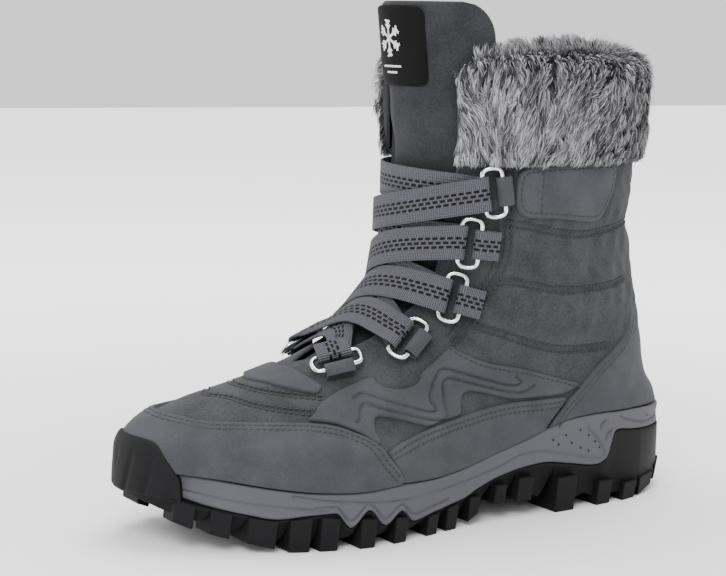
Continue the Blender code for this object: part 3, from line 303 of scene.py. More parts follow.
def sew(line, out, pitch=THREAD_PITCH, width=0.00068, length=0.76):
    """Sews stitches along a line of turns and heights, at a distance out of the shell."""
    line = even(line, pitch) if len(line) < 60 else line
    line = line[np.isfinite(line).all(axis=1)]
    points, normals = last(line[:, 0], line[:, 1], out, with_normal=True)
    spans = np.linalg.norm(points[1:] - points[:-1], axis=1)
    whole = (spans > pitch * 0.4) & (spans < pitch * 1.8)
    heads, tails, ups = points[1:][whole], points[:-1][whole], ((normals[1:] + normals[:-1]) / 2)[whole]
    middle = (heads + tails) / 2
    half = (heads - tails) / 2 * length
    side = np.cross(ups, half)
    side *= width / 2 / np.linalg.norm(side, axis=1, keepdims=True)
    rise = ups * width * 0.42
    half = half + side * 0.35
    rings = []
    for share, thin in ((-1.0, 0.35), (-0.7, 1.0), (0.7, 1.0), (1.0, 0.35)):
        for across, up in ((-1, -0.4), (-0.75, 0.75), (0.75, 0.75), (1, -0.4)):
            rings.append(middle + half * share + (side * across + rise * up) * thin)
    base = sum(len(group) for group in stitch_points)
    stack = np.stack(rings, axis=1).reshape(-1, 3)
    count = len(middle)
    pattern = []
    for ring in range(3):
        for k in range(3):
            a = ring * 4 + k
            pattern.append((a, a + 1, a + 5, a + 4))
    pattern += [(3, 2, 1, 0), (12, 13, 14, 15)]
    faces = (np.array(pattern)[None] + (np.arange(count) * 16)[:, None, None] + base).reshape(-1, 4)
    stitch_points.append(stack)
    stitch_faces.append(faces)


def sew_rows(line, out, offsets, pitch=THREAD_PITCH):
    """Sews rows parallel to a line, at these distances to its left."""
    line = even(line, pitch)
    for offset in offsets:
        row = shifted(line, offset)
        sew(np.asarray(row), out, pitch)


# Upper
# Suede vamp, quarters and quilted shaft over a padded lining, cut open down the throat.
# The shaft swells between its double seams, and the vamp has two seams across it.

ROWS = (
    # toe, heel
    (0.440, 0.770),
    (0.600, 0.778),
    (0.701, 0.792),
    (0.750, 0.861),
    (0.792, 0.931),
    (0.826, 1.000),
    (0.864, 1.045),
    (0.903, 1.098),
    (0.949, 1.158),
    (1.000, 1.218),
    (1.038, 1.278),
    (1.090, 1.338),
    (1.158, 1.400),
    (1.248, 1.466),
    (1.361, 1.545),
    (1.511, 1.650),
    (1.662, 1.770),
    (1.812, 1.880),
    (1.962, 1.962),
)
THROAT = (
    # height, half width as a share of half the throat width
    (1.000, 0.00),
    (1.038, 0.56),
    (1.135, 0.75),
    (1.286, 0.92),
    (1.489, 1.00),
    (1.662, 1.17),
    (2.000, 1.42),
)
THROAT_WIDTH = 0.048
QUILT_SEAMS = (
    ((118.7, 135), (107.6, 133.5), (94.5, 130.5), (79.8, 128.5), (67.1, 129.5), (52, 131), (30, 134)),
    ((120.4, 108), (115.1, 109), (102.5, 106), (88.1, 103.5), (72.8, 103), (60.3, 103.5), (42.7, 105.5)),
    ((131, 89), (122.4, 86.5), (109.9, 82), (95.4, 77.5), (83.9, 75.5), (68.7, 75), (56.2, 75.5)),
)
EYESTAY_SEAM = (
    (118, 160), (118, 133.5), (116.8, 123.5), (120.9, 111), (125.4, 103.5), (129.6, 96.5), (133.7, 90.5),
    (142.7, 81.5),
)
VAMP_SEAMS = (
    ((219, 65), (214.1, 62.5), (205.4, 61.5)),
    ((244.6, 61), (238.2, 61.5), (234.5, 59.5), (226, 58), (213.2, 56.5)),
)


def throat_turn(up):
    """Half the throat's opening, as a turn from the front."""
    table = np.array(THROAT)
    half = smooth(table[:, 0], table[:, 1], up) * THROAT_WIDTH / 2
    z = height(up)
    turn = np.full(half.shape, 0.5)
    for _ in range(4):
        widths = [smooth(SECTIONS[:, 0], SECTIONS[:, c], z) for c in range(3, 9)]
        radius = smooth(TURNS, np.array(widths), turn)
        turn = np.arcsin(np.clip(half / radius, 0, 0.95))
    return np.where(np.asarray(up) > 1.0, turn, 0.0)


def wall_grid(rows, columns):
    """Turns and heights of the wall, row by row from the sole to the rim, round the heel."""
    table = np.array(ROWS)
    run = np.linspace(0, len(table) - 1, rows)
    toe = smooth(np.arange(len(table)), table[:, 0], run)
    heel = smooth(np.arange(len(table)), table[:, 1], run)
    opening = throat_turn(toe)[:, None]
    share = np.linspace(0, 1, columns)[None, :]
    turn = opening + (2 * np.pi - 2 * opening) * share
    weight = (1 - np.cos(turn)) / 2
    return turn, height(toe[:, None] + (heel - toe)[:, None] * weight)


def mirrored(line):
    """The same line on the other side."""
    return np.asarray(line) * [-1, 1]


def distance_to(points, lines):
    """Distance from each point to the nearest of some lines on the shell."""
    marks = np.concatenate([last(line[:, 0], line[:, 1]) for line in lines])
    tree = kdtree.KDTree(len(marks))
    for index, mark in enumerate(marks):
        tree.insert(mark, index)
    tree.balance()
    return np.array([tree.find(point)[2] for point in points])


quilt_lines = []
for seam in QUILT_SEAMS:
    for side in (1, -1):
        quilt_lines.append(even(chart(seam, side), THREAD_PITCH))
eyestay_lines = [even(chart(EYESTAY_SEAM, side), THREAD_PITCH) for side in (1, -1)]
vamp_lines = []
for seam in VAMP_SEAMS:
    half_line = chart(seam)
    half_line[0, 0] = 0.0
    vamp_lines.append(even(np.concatenate([mirrored(half_line[::-1]), half_line[1:]]), THREAD_PITCH))

turn, z = wall_grid(190, 381)
shape = turn.shape
points, normals = last(turn.ravel(), z.ravel(), 0.0, with_normal=True)
from_seam = distance_to(points, quilt_lines + vamp_lines)
from_eyestay = distance_to(points, eyestay_lines)
along = 0.142 - points[:, 1]
quilted = np.clip((points[:, 2] - 0.074) / 0.01, 0, 1) * np.clip((0.122 - along) / 0.012, 0, 1)
near_edge = np.minimum(from_seam, from_eyestay)
puff = 0.0019 * (1 - np.exp(-((near_edge / 0.0085) ** 2))) * quilted
dip = 0.0009 * np.exp(-((from_seam / 0.0017) ** 2)) + 0.0005 * np.exp(-((from_eyestay / 0.0012) ** 2))
ripple = 0.00035 * np.sin(points[:, 1] * 610 + 3.0 * np.sin(points[:, 2] * 170)) * np.sin(points[:, 2] * 240)
points = points + normals * (puff - dip + ripple * quilted)[:, None]
inner_turn, inner_z = wall_grid(60, 121)
inner = last(inner_turn.ravel(), inner_z.ravel(), -WALL)
faces = [grid_faces(*shape), grid_faces(*inner_turn.shape, start=len(points), flip=True)]
rim_top = (shape[0] - 1) * shape[1]
outer_rim = [rim_top + c for c in range(0, shape[1], 3)]
outer_rim += [c for c in (rim_top + shape[1] - 1,) if c not in outer_rim]
upper = new_mesh("upper_shell", np.concatenate([points, inner]), np.concatenate(faces), SUEDE)
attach(upper, "root")
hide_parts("upper")


def edge_strip(name, outer_turn, outer_z, material, thick=WALL):
    """A rounded edge that closes the wall along a line of its rim."""
    rings = []
    for k in range(5):
        angle = math.pi * k / 4
        out = -thick / 2 + thick / 2 * math.cos(angle)
        rings.append(last(outer_turn, outer_z + 0.0, out))
    rings = np.array(rings)
    away = np.gradient(rings[0], axis=0)
    across = rings[-1] - rings[0]
    bulge = np.cross(away, across)
    bulge /= np.linalg.norm(bulge, axis=1, keepdims=True)
    for k in range(5):
        rings[k] += bulge * math.sin(math.pi * k / 4) * thick * 0.45
    strip = new_mesh(name, rings.reshape(-1, 3), grid_faces(5, len(outer_turn)), material)
    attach(strip, "root")
    return strip


right_edge = edge_strip("throat_edge_lateral", turn[:, 0], z[:, 0], NUBUCK)
left_edge = edge_strip("throat_edge_medial", turn[::-1, -1], z[::-1, -1], NUBUCK)

for line in quilt_lines:
    sew_rows(line, 0.0, (0.0014, -0.0014))
for line in vamp_lines:
    sew_rows(line, 0.0, (0.0013, -0.0013))
for line in eyestay_lines:
    sew_rows(line, 0.0006, (0.0016, -0.0012, -0.0040))


# Overlays
# Nubuck pieces about 1.7 mm proud with skived, rounded edges: toe rand, side bands, the winged
# side overlays with their embossed lines, the heel counter and the vamp tab.

OVERLAY_OUT = 0.0017
RAND_OUT = 0.0024
RAND_EDGE = (
    (178, 26), (180, 31), (184.6, 36), (190, 42), (195.6, 46.5), (203.6, 50), (210.5, 51.5), (221.4, 52.5),
    (242.9, 52.5), (256.3, 52.6), (262.1, 53.8), (268.7, 54.4), (271.4, 54.8),
)
BAND_EDGE = (
    (178.2, 26), (179.8, 30), (184, 35.5), (188.8, 41.2), (169.4, 45.6), (148.5, 49.2), (132, 52), (116.3, 54),
    (99, 53.7), (84, 54), (82.8, 53.1), (87, 48.2), (92.5, 43), (95.8, 39.4),
)
COUNTER_EDGE = (
    (96, 37.6), (90.7, 43), (84.5, 49.2), (75.2, 57), (63.6, 67), (55.9, 71.2), (48.4, 75.6),
    (42.8, 80.5), (37.8, 92.5), (33.9, 103.5), (32.5, 110.5), (26, 111.8),
)
WING_OUTLINE = (
    (217.2, 53.4), (211.8, 56), (205, 60.4), (196.8, 63.8), (180.6, 69), (180.8, 66.5), (177.8, 64.5),
    (170.6, 63.5), (163.6, 65), (160.5, 68), (160.6, 70), (144, 80.8), (142.5, 79.2), (138.7, 77),
    (127.3, 72.6), (106.1, 68.5), (88, 63), (75.1, 59.5), (77, 58), (84.6, 55.5), (99.4, 55.2), (113.9, 55.5),
    (121.7, 57.5), (129.8, 59.7), (136.8, 61.3), (141.2, 60.7), (142.9, 56.9), (142.6, 51.6), (148.2, 50.6),
    (163, 47.9), (164.1, 48.6), (175.6, 52), (186.7, 54.4), (189.2, 52), (189.5, 43.6), (192, 43.9),
    (196.5, 48), (203.5, 51.4), (209.9, 52.9),
)
EMBOSSED_LINES = (
    ((193.1, 60.5), (190.4, 62), (188.1, 62.5), (182.5, 60.5), (172.6, 57.5), (159.7, 53.5), (154.9, 54.5),
     (154.9, 67), (151.9, 71), (148, 71.5), (131.9, 66.5), (113.5, 61), (108.1, 62.5), (112, 65.5)),
    ((196.9, 52), (194.3, 53.5), (191.2, 58.5), (189.1, 59), (174.1, 54), (156.7, 49.8), (152.6, 49.8),
     (150.4, 51.5), (151, 58.5), (151.3, 65.5), (147.6, 68), (128.2, 62), (112.5, 58), (106.7, 58), (102, 60.5)),
)
VAMP_TAB_REAR = ((201.5, 66), (205.9, 70.5))
VAMP_TAB_FRONT = ((206, 62.6), (211.4, 63.4), (216.3, 64.4), (221, 65.9))


SOLE_LINES = (
    # along, top and foot of the midsole as shares of the heel height
    (0.000, 0.965, 0.740),
    (0.020, 0.965, 0.735),
    (0.055, 0.972, 0.735),
    (0.090, 0.985, 0.745),
    (0.125, 0.995, 0.765),
    (0.160, 1.000, 0.795),
    (0.170, 1.003, 0.770),
    (0.190, 1.010, 0.490),
    (0.212, 1.013, 0.450),
    (0.270, 0.998, 0.505),
    (0.326, 0.920, 0.555),
    (0.360, 0.850, 0.540),
    (0.423, 0.742, 0.460),
    (0.458, 0.674, 0.380),
    (0.490, 0.620, 0.295),
    (0.520, 0.593, 0.260),
    (0.560, 0.575, 0.222),
    (0.600, 0.582, 0.185),
    (0.627, 0.593, 0.315),
    (0.658, 0.584, 0.200),
    (0.687, 0.568, 0.370),
    (0.716, 0.563, 0.212),
    (0.740, 0.568, 0.362),
    (0.775, 0.582, 0.352),
    (0.824, 0.625, 0.326),
    (0.875, 0.685, 0.390),
    (0.918, 0.736, 0.450),
    (0.953, 0.759, 0.520),
    (0.982, 0.770, 0.570),
    (1.000, 0.780, 0.595),
)


def sole_line(column, along):
    table = np.array(SOLE_LINES)
    return HEEL_RISE * smooth(table[:, 0], table[:, column], along / SOLE)



def within(points, outline):
    """Which chart points lie inside a closed outline."""
    x, y = points[:, :1], points[:, 1:]
    ax, ay = outline[:, 0], outline[:, 1]
    bx, by = np.roll(ax, -1), np.roll(ay, -1)
    crosses = ((ay > y) != (by > y)) & (x < ax + (y - ay) * (bx - ax) / (by - ay + 1e-15))
    return crosses.sum(1) % 2 == 1


def panel(name, outline, material, thick=OVERLAY_OUT, step=0.0016, rounding=0.0011, relief=None, drop=0.0006):
    """A layer on the shell inside an outline of turns and heights, its edge rounded over."""
    edge = even(outline, 0.0010, closed=True)
    ahead = np.roll(edge, -1, axis=0)
    if (edge[:, 0] * ahead[:, 1] - ahead[:, 0] * edge[:, 1]).sum() < 0:
        edge = edge[::-1]
    rings = [edge] + [shifted(edge, inset, closed=True) for inset in (0.0003, 0.0007, rounding)]
    by_turn, by_height = measure(edge)
    wide = step / np.median(np.linalg.norm(by_turn, axis=1))
    tall = step / np.percentile(np.linalg.norm(by_height, axis=1), 75)
    low, high = edge.min(0), edge.max(0)
    a, b = np.meshgrid(np.arange(low[0], high[0], wide), np.arange(low[1], high[1], tall))
    field = np.stack([a.ravel() + (np.arange(a.shape[0]) % 2 * wide / 2).repeat(a.shape[1]), b.ravel()], axis=1)
    field = field[within(field, rings[-1])]
    scale = np.array([1 / wide, 1 / tall])
    flat = np.concatenate(rings + [field]) * scale
    count = len(edge)
    edges = [(r * count + k, r * count + (k + 1) % count) for r in range(4) for k in range(count)]
    vertices, _, triangles, *_ = delaunay_2d_cdt([Vector(p) for p in flat], edges, [], 0, 0.02)
    places = np.array([tuple(v) for v in vertices]) / scale
    triangles = np.array([t for t in triangles if len(t) == 3])
    centres = places[triangles].mean(axis=1)
    triangles = triangles[within(centres, edge)]
    fine = np.concatenate([np.linspace(p, q, 5)[:-1] for p, q in zip(edge, np.roll(edge, -1, axis=0))])
    base, normals = last(places[:, 0], places[:, 1], 0.0, with_normal=True)
    marks = last(fine[:, 0], fine[:, 1])
    tree = kdtree.KDTree(len(marks))
    for index, mark in enumerate(marks):
        tree.insert(mark, index)
    tree.balance()
    inward = np.array([tree.find(point)[2] for point in base])
    round_share = np.clip(inward / rounding, 0, 1)
    out = thick - rounding * 0.75 * (1 - np.sqrt(1 - (1 - round_share) ** 2))
    if relief is not None:
        out = out + relief(base, places, inward)
    points = base + normals * out[:, None]
    skirt_low = last(edge[:, 0], edge[:, 1], -drop)
    skirt_high = last(edge[:, 0], edge[:, 1], thick - rounding * 0.75)
    start = len(points)
    ring = np.arange(count)
    after = (ring + 1) % count
    skirt = np.stack([start + ring, start + after, start + count + after, start + count + ring], axis=1)
    faces = [tuple(t) for t in triangles] + [tuple(q) for q in skirt]
    piece = new_mesh(name, np.concatenate([points, skirt_low, skirt_high]), faces, material)
    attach(piece, "root")
    return piece


def across_toe(line):
    """A line from one side over the toe to the other, given on the lateral side."""
    half_line = chart(line)
    return np.concatenate([half_line, [[0.0, half_line[-1, 1]]], mirrored(half_line[::-1])])


def foot_run(start, end, drop=-0.0002, side=1):
    """Places along the foot of the upper, below the top of the midsole, from and to in mm."""
    along = np.linspace(start, end, 14) / 1000 - 0.002
    z = sole_line(1, along) - drop
    return np.stack([side * turn_at(along, z), z], axis=1)


def ripples(base, places, inward):
    """Slight unevenness of a lasted panel."""
    y, z = base[:, 1], base[:, 2]
    return 0.00012 * np.sin(y * 300 + 2 * np.sin(z * 190)) * np.clip(inward / 0.006, 0, 1)


embossed = {}
for side in (1, -1):
    embossed[side] = [even(chart(line, side), 0.0008) for line in EMBOSSED_LINES]


def wing_relief(base, places, inward):
    """The pressed lines of the wings, sunk into the leather."""
    side = 1 if places[:, 0].mean() > 0 else -1
    off = distance_to(base, embossed[side])
    return -0.0014 * np.exp(-((off / 0.00060) ** 2))


rand_outline = np.concatenate([across_toe(RAND_EDGE), mirrored(foot_run(180, 279.8)[1:]), foot_run(180, 279.8)[::-1][:-1]])
toe_rand = panel("toe_rand_leather", rand_outline, NUBUCK, thick=RAND_OUT, relief=ripples)
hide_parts("toe_rand")
rand_line = even(across_toe(RAND_EDGE[1:]), THREAD_PITCH)
for inset in (0.0021, 0.0045):
    sew(shifted(rand_line, inset), RAND_OUT)

band_pieces = []
wing_pieces = []
for side, where in ((1, "lateral"), (-1, "medial")):
    foot = foot_run(97, 178, side=side)
    band = panel("side_band_leather_" + where, np.concatenate([chart(BAND_EDGE, side), foot]), NUBUCK, relief=ripples)
    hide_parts("side_band_" + where)
    band_top = even(chart(BAND_EDGE[3:10], side), THREAD_PITCH)
    for inset in (0.0021, 0.0045):
        sew(shifted(band_top, -inset * side), OVERLAY_OUT)
    wing = panel(
        "wing_leather_" + where, chart(WING_OUTLINE, side), NUBUCK, step=0.00065, relief=wing_relief
    )
    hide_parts("side_overlay_" + where)
    wing_top = even(chart(WING_OUTLINE[11:18], side), THREAD_PITCH)
    sew(shifted(wing_top, -0.0018 * side), OVERLAY_OUT)

counter_side = chart(COUNTER_EDGE)
counter_other = mirrored(counter_side[::-1]) + [2 * np.pi, 0]
heel_foot = foot_run(95.4, 4)
heel_foot_other = mirrored(heel_foot[::-1]) + [2 * np.pi, 0]
counter_outline = np.concatenate([counter_side, [[np.pi, 0.1122]], counter_other, heel_foot_other, heel_foot[::-1]])
counter = panel("heel_counter_leather", counter_outline, NUBUCK, relief=ripples)
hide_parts("heel_counter")
counter_line = even(np.concatenate([counter_side[1:], [[np.pi, 0.1122]], counter_other[:-1]]), THREAD_PITCH)
for inset in (0.0019, 0.0040):
    sew(shifted(counter_line, -inset), OVERLAY_OUT)

rear = across_toe(VAMP_TAB_REAR)
front = across_toe(VAMP_TAB_FRONT)
vamp_tab = panel("vamp_tab_leather", np.concatenate([rear[::-1], front]), NUBUCK, thick=0.0015)
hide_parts("vamp_tab")


# Midsole
# One moulded foam piece, violet grey. Its teeth bite into the outsole, a wing rises beside the heel, and fine moulded
# lines follow both. The wing has eleven pinholes, drawn as flat black discs of painted shade, and two crescent dents.

MIDSOLE_FLARE = 0.0012
MIDSOLE_COLUMNS = 1500
MIDSOLE_ROWS = 32
MOULDED_LINES = (
    # along as a share of the sole length, height in mm
    ((0.803, 24.4), (0.775, 22.7), (0.750, 21.5), (0.705, 20.1), (0.638, 18.6), (0.570, 18.5), (0.485, 20.4),
     (0.417, 24.8), (0.390, 28.0), (0.355, 30.3), (0.312, 29.0), (0.250, 24.8), (0.205, 22.0), (0.190, 23.0),
     (0.193, 26.5), (0.217, 33.5), (0.236, 38.5)),
    ((0.957, 26.5), (0.903, 23.0), (0.850, 20.4), (0.772, 17.8), (0.752, 17.0)),
    ((0.158, 41.0), (0.138, 38.6), (0.107, 36.2), (0.072, 35.4), (0.040, 36.0), (0.022, 37.6)),
)
CRESCENTS = (((0.203, 36.8), (0.201, 38.9), (0.192, 39.6)), ((0.189, 31.2), (0.187, 33.4), (0.178, 34.2)))
PINHOLES = (
    (0.310, 34.5), (0.298, 32.0), (0.283, 36.0), (0.270, 32.0), (0.252, 37.5), (0.250, 29.0), (0.233, 34.5),
    (0.232, 27.0), (0.218, 31.0), (0.207, 27.9), (0.078, 38.2),
)
PINHOLE_RADIUS = 0.00055
WAVE_LINE = (0.525, 0.770, 0.0030)


def round_turns(count):
    """Turns round the sole, evenly spaced in length."""
    guess = np.linspace(0, 2 * np.pi, 2001)
    line = last(guess, float(height(0.333)))
    run = np.concatenate([[0], np.cumsum(np.linalg.norm(np.diff(line, axis=0), axis=1))])
    return np.interp(np.linspace(0, run[-1], count + 1)[:-1], run, guess)


def sole_ring(turns, out, z):
    ring = last(turns, float(height(0.333)), np.broadcast_to(out, turns.shape))
    ring[:, 2] = z
    return ring


def toe_and_heel(along, toe, side, heel):
    return np.interp(along / SOLE, (0.0, 0.10, 0.20, 0.88, 0.945, 1.0), (heel, heel, side, side, toe, toe))


def far_from(places, lines):
    """Distance on the sole's side wall from places to lines, in metres."""
    tree = kdtree.KDTree(sum(len(line) for line in lines))
    for line in lines:
        for mark in line:
            tree.insert((mark[0], mark[1], 0.0), 0)
    tree.balance()
    return np.array([tree.find((x, y, 0.0))[2] for x, y in places])


def drawn(line):
    """A line of shares and mm as places in metres, rounded, one each 0.15 mm."""
    places = np.array(line, float) * [SOLE, 0.001]
    for _ in range(3):
        cut = np.stack([places[:-1] * 0.75 + places[1:] * 0.25, places[:-1] * 0.25 + places[1:] * 0.75], axis=1)
        places = np.concatenate([places[:1], cut.reshape(-1, 2), places[-1:]])
    run = np.concatenate([[0], np.cumsum(np.linalg.norm(np.diff(places, axis=0), axis=1))])
    stops = np.linspace(0, run[-1], int(run[-1] / 0.00015))
    return np.stack([np.interp(stops, run, places[:, k]) for k in (0, 1)], axis=1)


foam, foam_tree, foam_shader = new_material("grey moulded foam")
foam_place = node(foam_tree, "ShaderNodeTexCoord")
foam_noise = node(foam_tree, "ShaderNodeTexNoise", [("Vector", foam_place.outputs["Object"])], Scale=1400.0, Detail=2.0)
foam_bump = node(foam_tree, "ShaderNodeBump", [("Height", foam_noise.outputs["Fac"])], Strength=0.35, Distance=0.00008)
foam_tree.links.new(foam_bump.outputs["Normal"], foam_shader.inputs["Normal"])
foam_shader.inputs["Base Color"].default_value = linear("#4a4950")
foam_shader.inputs["Roughness"].default_value = 0.62
foam_shader.inputs["Specular IOR Level"].default_value = 0.3

turns = round_turns(MIDSOLE_COLUMNS)
along = SOLE * (1 + np.cos(turns)) / 2
top = sole_line(1, along) - 0.0002
foot = sole_line(2, along) + 0.0003
flare = toe_and_heel(along, -0.0010, MIDSOLE_FLARE, MIDSOLE_FLARE)
wave_stops = np.linspace(WAVE_LINE[0], WAVE_LINE[1], 500) * SOLE
wave = np.stack([wave_stops, sole_line(2, wave_stops) + WAVE_LINE[2]], axis=1)
lines = [drawn(line) for line in MOULDED_LINES] + [wave]
dents = [drawn(line) for line in CRESCENTS]
rings = [sole_ring(turns, flare - 0.0060, top - 0.0006)]
for row in range(MIDSOLE_ROWS):
    down = (1 - math.cos(math.pi * row / (MIDSOLE_ROWS - 1))) / 2
    level = top + (foot - top) * down
    places = np.stack([along, level], axis=1)
    from_edge = np.minimum(top - level, level - foot)
    out = flare - 0.0009 * (1 - np.clip(from_edge / 0.0011, 0, 1)) ** 2
    out += 0.0006 * np.clip(1 - (top - level) / 0.0040, 0, 1) + 0.0006 * np.clip(1 - (level - foot) / 0.0028, 0, 1)
    out -= 0.0009 * np.exp(-((far_from(places, lines) / 0.00045) ** 2))
    out -= 0.0014 * np.exp(-((far_from(places, dents) / 0.0008) ** 2))
    rings.append(sole_ring(turns, out, level))
rings.append(sole_ring(turns, flare - 0.0060, foot))
midsole = new_mesh(
    "midsole_foam", np.concatenate(rings), grid_faces(len(rings), MIDSOLE_COLUMNS, closed=True, flip=True), foam
)
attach(midsole, "root")
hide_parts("midsole")

# Outsole
# Black rubber with a row of deep lugs along each edge, wide lugs down the middle, and a bumper
# that stands up over the toe.

TOE_SPRING = 0.018
LUG_DEPTH = 0.005
GROUND = (
    # along, height as a share of the toe spring
    (0.000, 0.66),
    (0.045, 0.25),
    (0.115, 0.00),
    (0.325, 0.00),
    (0.352, 0.42),
    (0.425, 0.47),
    (0.465, 0.27),
    (0.500, 0.00),
    (0.803, 0.00),
    (0.827, 0.08),
    (0.880, 0.29),
    (0.950, 0.62),
    (1.000, 1.00),
)
SIDE_LUGS = (
    # from, to, reach inwards as a share of the half width, top as a share of the heel height
    (0.024, 0.046, 0.55, 0.250),
    (0.058, 0.102, 0.50, 0.210),
    (0.113, 0.147, 0.50, 0.195),
    (0.174, 0.206, 0.50, 0.260),
    (0.257, 0.297, 0.50, 0.375),
    (0.348, 0.378, 0.45, 0.430),
    (0.402, 0.424, 0.40, 0.385),
    (0.455, 0.477, 0.40, 0.300),
    (0.503, 0.527, 0.40, 0.300),
    (0.547, 0.571, 0.42, 0.300),
    (0.615, 0.639, 0.42, 0.300),
    (0.674, 0.699, 0.42, 0.350),
    (0.733, 0.760, 0.42, 0.350),
    (0.775, 0.805, 0.42, 0.345),
    (0.824, 0.862, 0.42, 0.400),
    (0.885, 0.911, 0.45, 0.450),
    (0.930, 0.953, 0.50, 0.500),
)
CENTRE_LUGS = (
    # middle, half length, half width as a share of the ball width
    (0.865, 0.022, 0.20),
    (0.800, 0.024, 0.25),
    (0.730, 0.024, 0.26),
    (0.660, 0.024, 0.25),
    (0.590, 0.024, 0.22),
    (0.215, 0.030, 0.16),
    (0.130, 0.024, 0.16),
)
LUG_LEAN = 0.0012
LUG_SEAT = 0.0005
SOLE_RECESS = 0.0018
rubber, rubber_tree, rubber_shader = new_material("black moulded rubber")
rubber_place = node(rubber_tree, "ShaderNodeTexCoord")
rubber_noise = node(
    rubber_tree, "ShaderNodeTexNoise", [("Vector", rubber_place.outputs["Object"])], Scale=900.0, Detail=3.0
)
rubber_bump = node(
    rubber_tree, "ShaderNodeBump", [("Height", rubber_noise.outputs["Fac"])], Strength=0.4, Distance=0.0001
)
rubber_tree.links.new(rubber_bump.outputs["Normal"], rubber_shader.inputs["Normal"])
rubber_shader.inputs["Base Color"].default_value = linear("#101012")
rubber_shader.inputs["Roughness"].default_value = 0.65
rubber_shader.inputs["Specular IOR Level"].default_value = 0.16


def ground_line(along):
    table = np.array(GROUND)
    return TOE_SPRING * smooth(table[:, 0], table[:, 1], along / SOLE)


top = sole_line(2, along) - 0.0001
low = ground_line(along) + LUG_DEPTH * 0.8
share = along / SOLE
web = np.zeros(len(share))
for behind, ahead in zip(SIDE_LUGS, SIDE_LUGS[1:]):
    across_gap = (share - behind[1]) / (ahead[0] - behind[1])
    web = np.where((across_gap > 0) & (across_gap < 1), (1 - np.clip(across_gap, 0, 1)) ** 1.5, web)
web *= np.clip((share - 0.21) / 0.05, 0, 1) * np.clip((0.955 - share) / 0.02, 0, 1)
root = low + np.maximum(top - 0.0016 - low, 0) * web
flare = toe_and_heel(along, 0.0030, 0.0006, 0.0020)
recess = flare - toe_and_heel(along, SOLE_RECESS, SOLE_RECESS, 0.0)
rings = [
    sole_ring(turns, flare - 0.0070, top),
    sole_ring(turns, flare - 0.0006, top),
    sole_ring(turns, flare, top - 0.0006),
    sole_ring(turns, recess, top - np.minimum(0.0020, (top - root) * 0.6)),
    sole_ring(turns, recess, root + 0.0004),
    sole_ring(turns, recess - 0.0006, root),
    sole_ring(turns, recess - 0.0080, root),
    sole_ring(turns, recess - 0.0100, ground_line(along) + LUG_DEPTH),
]
base_points = np.concatenate(rings)
base_faces = [tuple(q) for q in grid_faces(len(rings), MIDSOLE_COLUMNS, closed=True, flip=True)]
under = (len(rings) - 1) * MIDSOLE_COLUMNS
for k in range(1, MIDSOLE_COLUMNS // 2 - 1):
    a, b = under + k, under + k + 1
    c, d = under + MIDSOLE_COLUMNS - k - 1, under + MIDSOLE_COLUMNS - k
    base_faces.append((d, c, b, a))
outsole = new_mesh("outsole_rubber", base_points, base_faces, rubber)
lug_points = []
lug_faces = []
LUG_SIDES = ((0, 3, 2, 1), (4, 5, 6, 7), (0, 1, 5, 4), (1, 2, 6, 5), (2, 3, 7, 6), (3, 0, 4, 7))


def block(plan, tops):
    """A lug from its plan of four corners and the heights of its top, leaning to the heel."""
    centre = sum(plan) / 4
    start = len(lug_points)
    for level in (0, 1):
        for corner, top_height in zip(plan, tops):
            ground = float(ground_line(np.array([MIDDLE - corner[1]]))[0])
            spread = corner + (corner - centre) * 0.04 * level
            rise = max(ground + LUG_DEPTH + 0.002, top_height) if level else ground
            lug_points.append((spread[0], spread[1] - LUG_LEAN * (1 - level), rise))
    lug_faces.extend(tuple(start + k for k in face) for face in LUG_SIDES)


for start, end, reach, top_share in SIDE_LUGS:
    seats = sole_line(2, np.array([start, end, end, start]) * SOLE) - LUG_SEAT
    tops = np.minimum(top_share * HEEL_RISE, seats)
    for side in (1, -1):
        out = 0.0017 if 0.15 < start < 0.9 else 0.0029
        edge = []
        for share in (start, end):
            edge.append(last(side * math.acos(2 * share - 1), float(height(0.333)), out)[0])
        inner = [np.array([corner[0] * (1 - reach), corner[1], 0.0]) for corner in (edge[1], edge[0])]
        block([edge[0], edge[1], *inner], tops)
for centre, half_length, half_width in CENTRE_LUGS:
    width = half_width * BALL
    y = MIDDLE - SOLE * centre
    half = half_length * SOLE
    corners = ((-width, y + half), (-width * 0.8, y - half), (width * 0.8, y - half), (width, y + half))
    block([np.array([a, b, 0.0]) for a, b in corners], [0.0] * 4)
lugs = new_mesh("outsole_lugs", lug_points, lug_faces, rubber, smooth_faces=False)
bevel = lugs.modifiers.new("rounded", "BEVEL")
bevel.width = 0.0006
bevel.segments = 2
for piece in (outsole, lugs):
    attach(piece, "root")
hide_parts("outsole")

# Each pinhole is a flat black disc just off the foam's face: painted shade standing in for the hole.
pin_points = []
pin_faces = []
for share, tall in PINHOLES:
    for side in (1, -1):
        turn = side * math.acos(2 * share - 1)
        centre, normal = last(turn, float(height(0.333)), MIDSOLE_FLARE + 0.0002, with_normal=True)
        centre = centre[0] * [1, 1, 0] + [0, 0, tall / 1000]
        level = np.cross([0, 0, 1], normal[0])
        level /= np.linalg.norm(level)
        start = len(pin_points)
        for k in range(10):
            angle = 2 * math.pi * k / 10
            reach = level * math.cos(angle) + np.array([0, 0, math.sin(angle)])
            pin_points.append(centre + reach * PINHOLE_RADIUS)
        pin_faces.append(tuple(start + k for k in range(10)))
pinholes = new_mesh("midsole_pinhole_shade_discs", pin_points, pin_faces, rubber)
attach(pinholes, "root")

BUMPER_EDGE = ((268.0, 18), (268.2, 25), (268.6, 32), (273.2, 44), (277.1, 45.4))


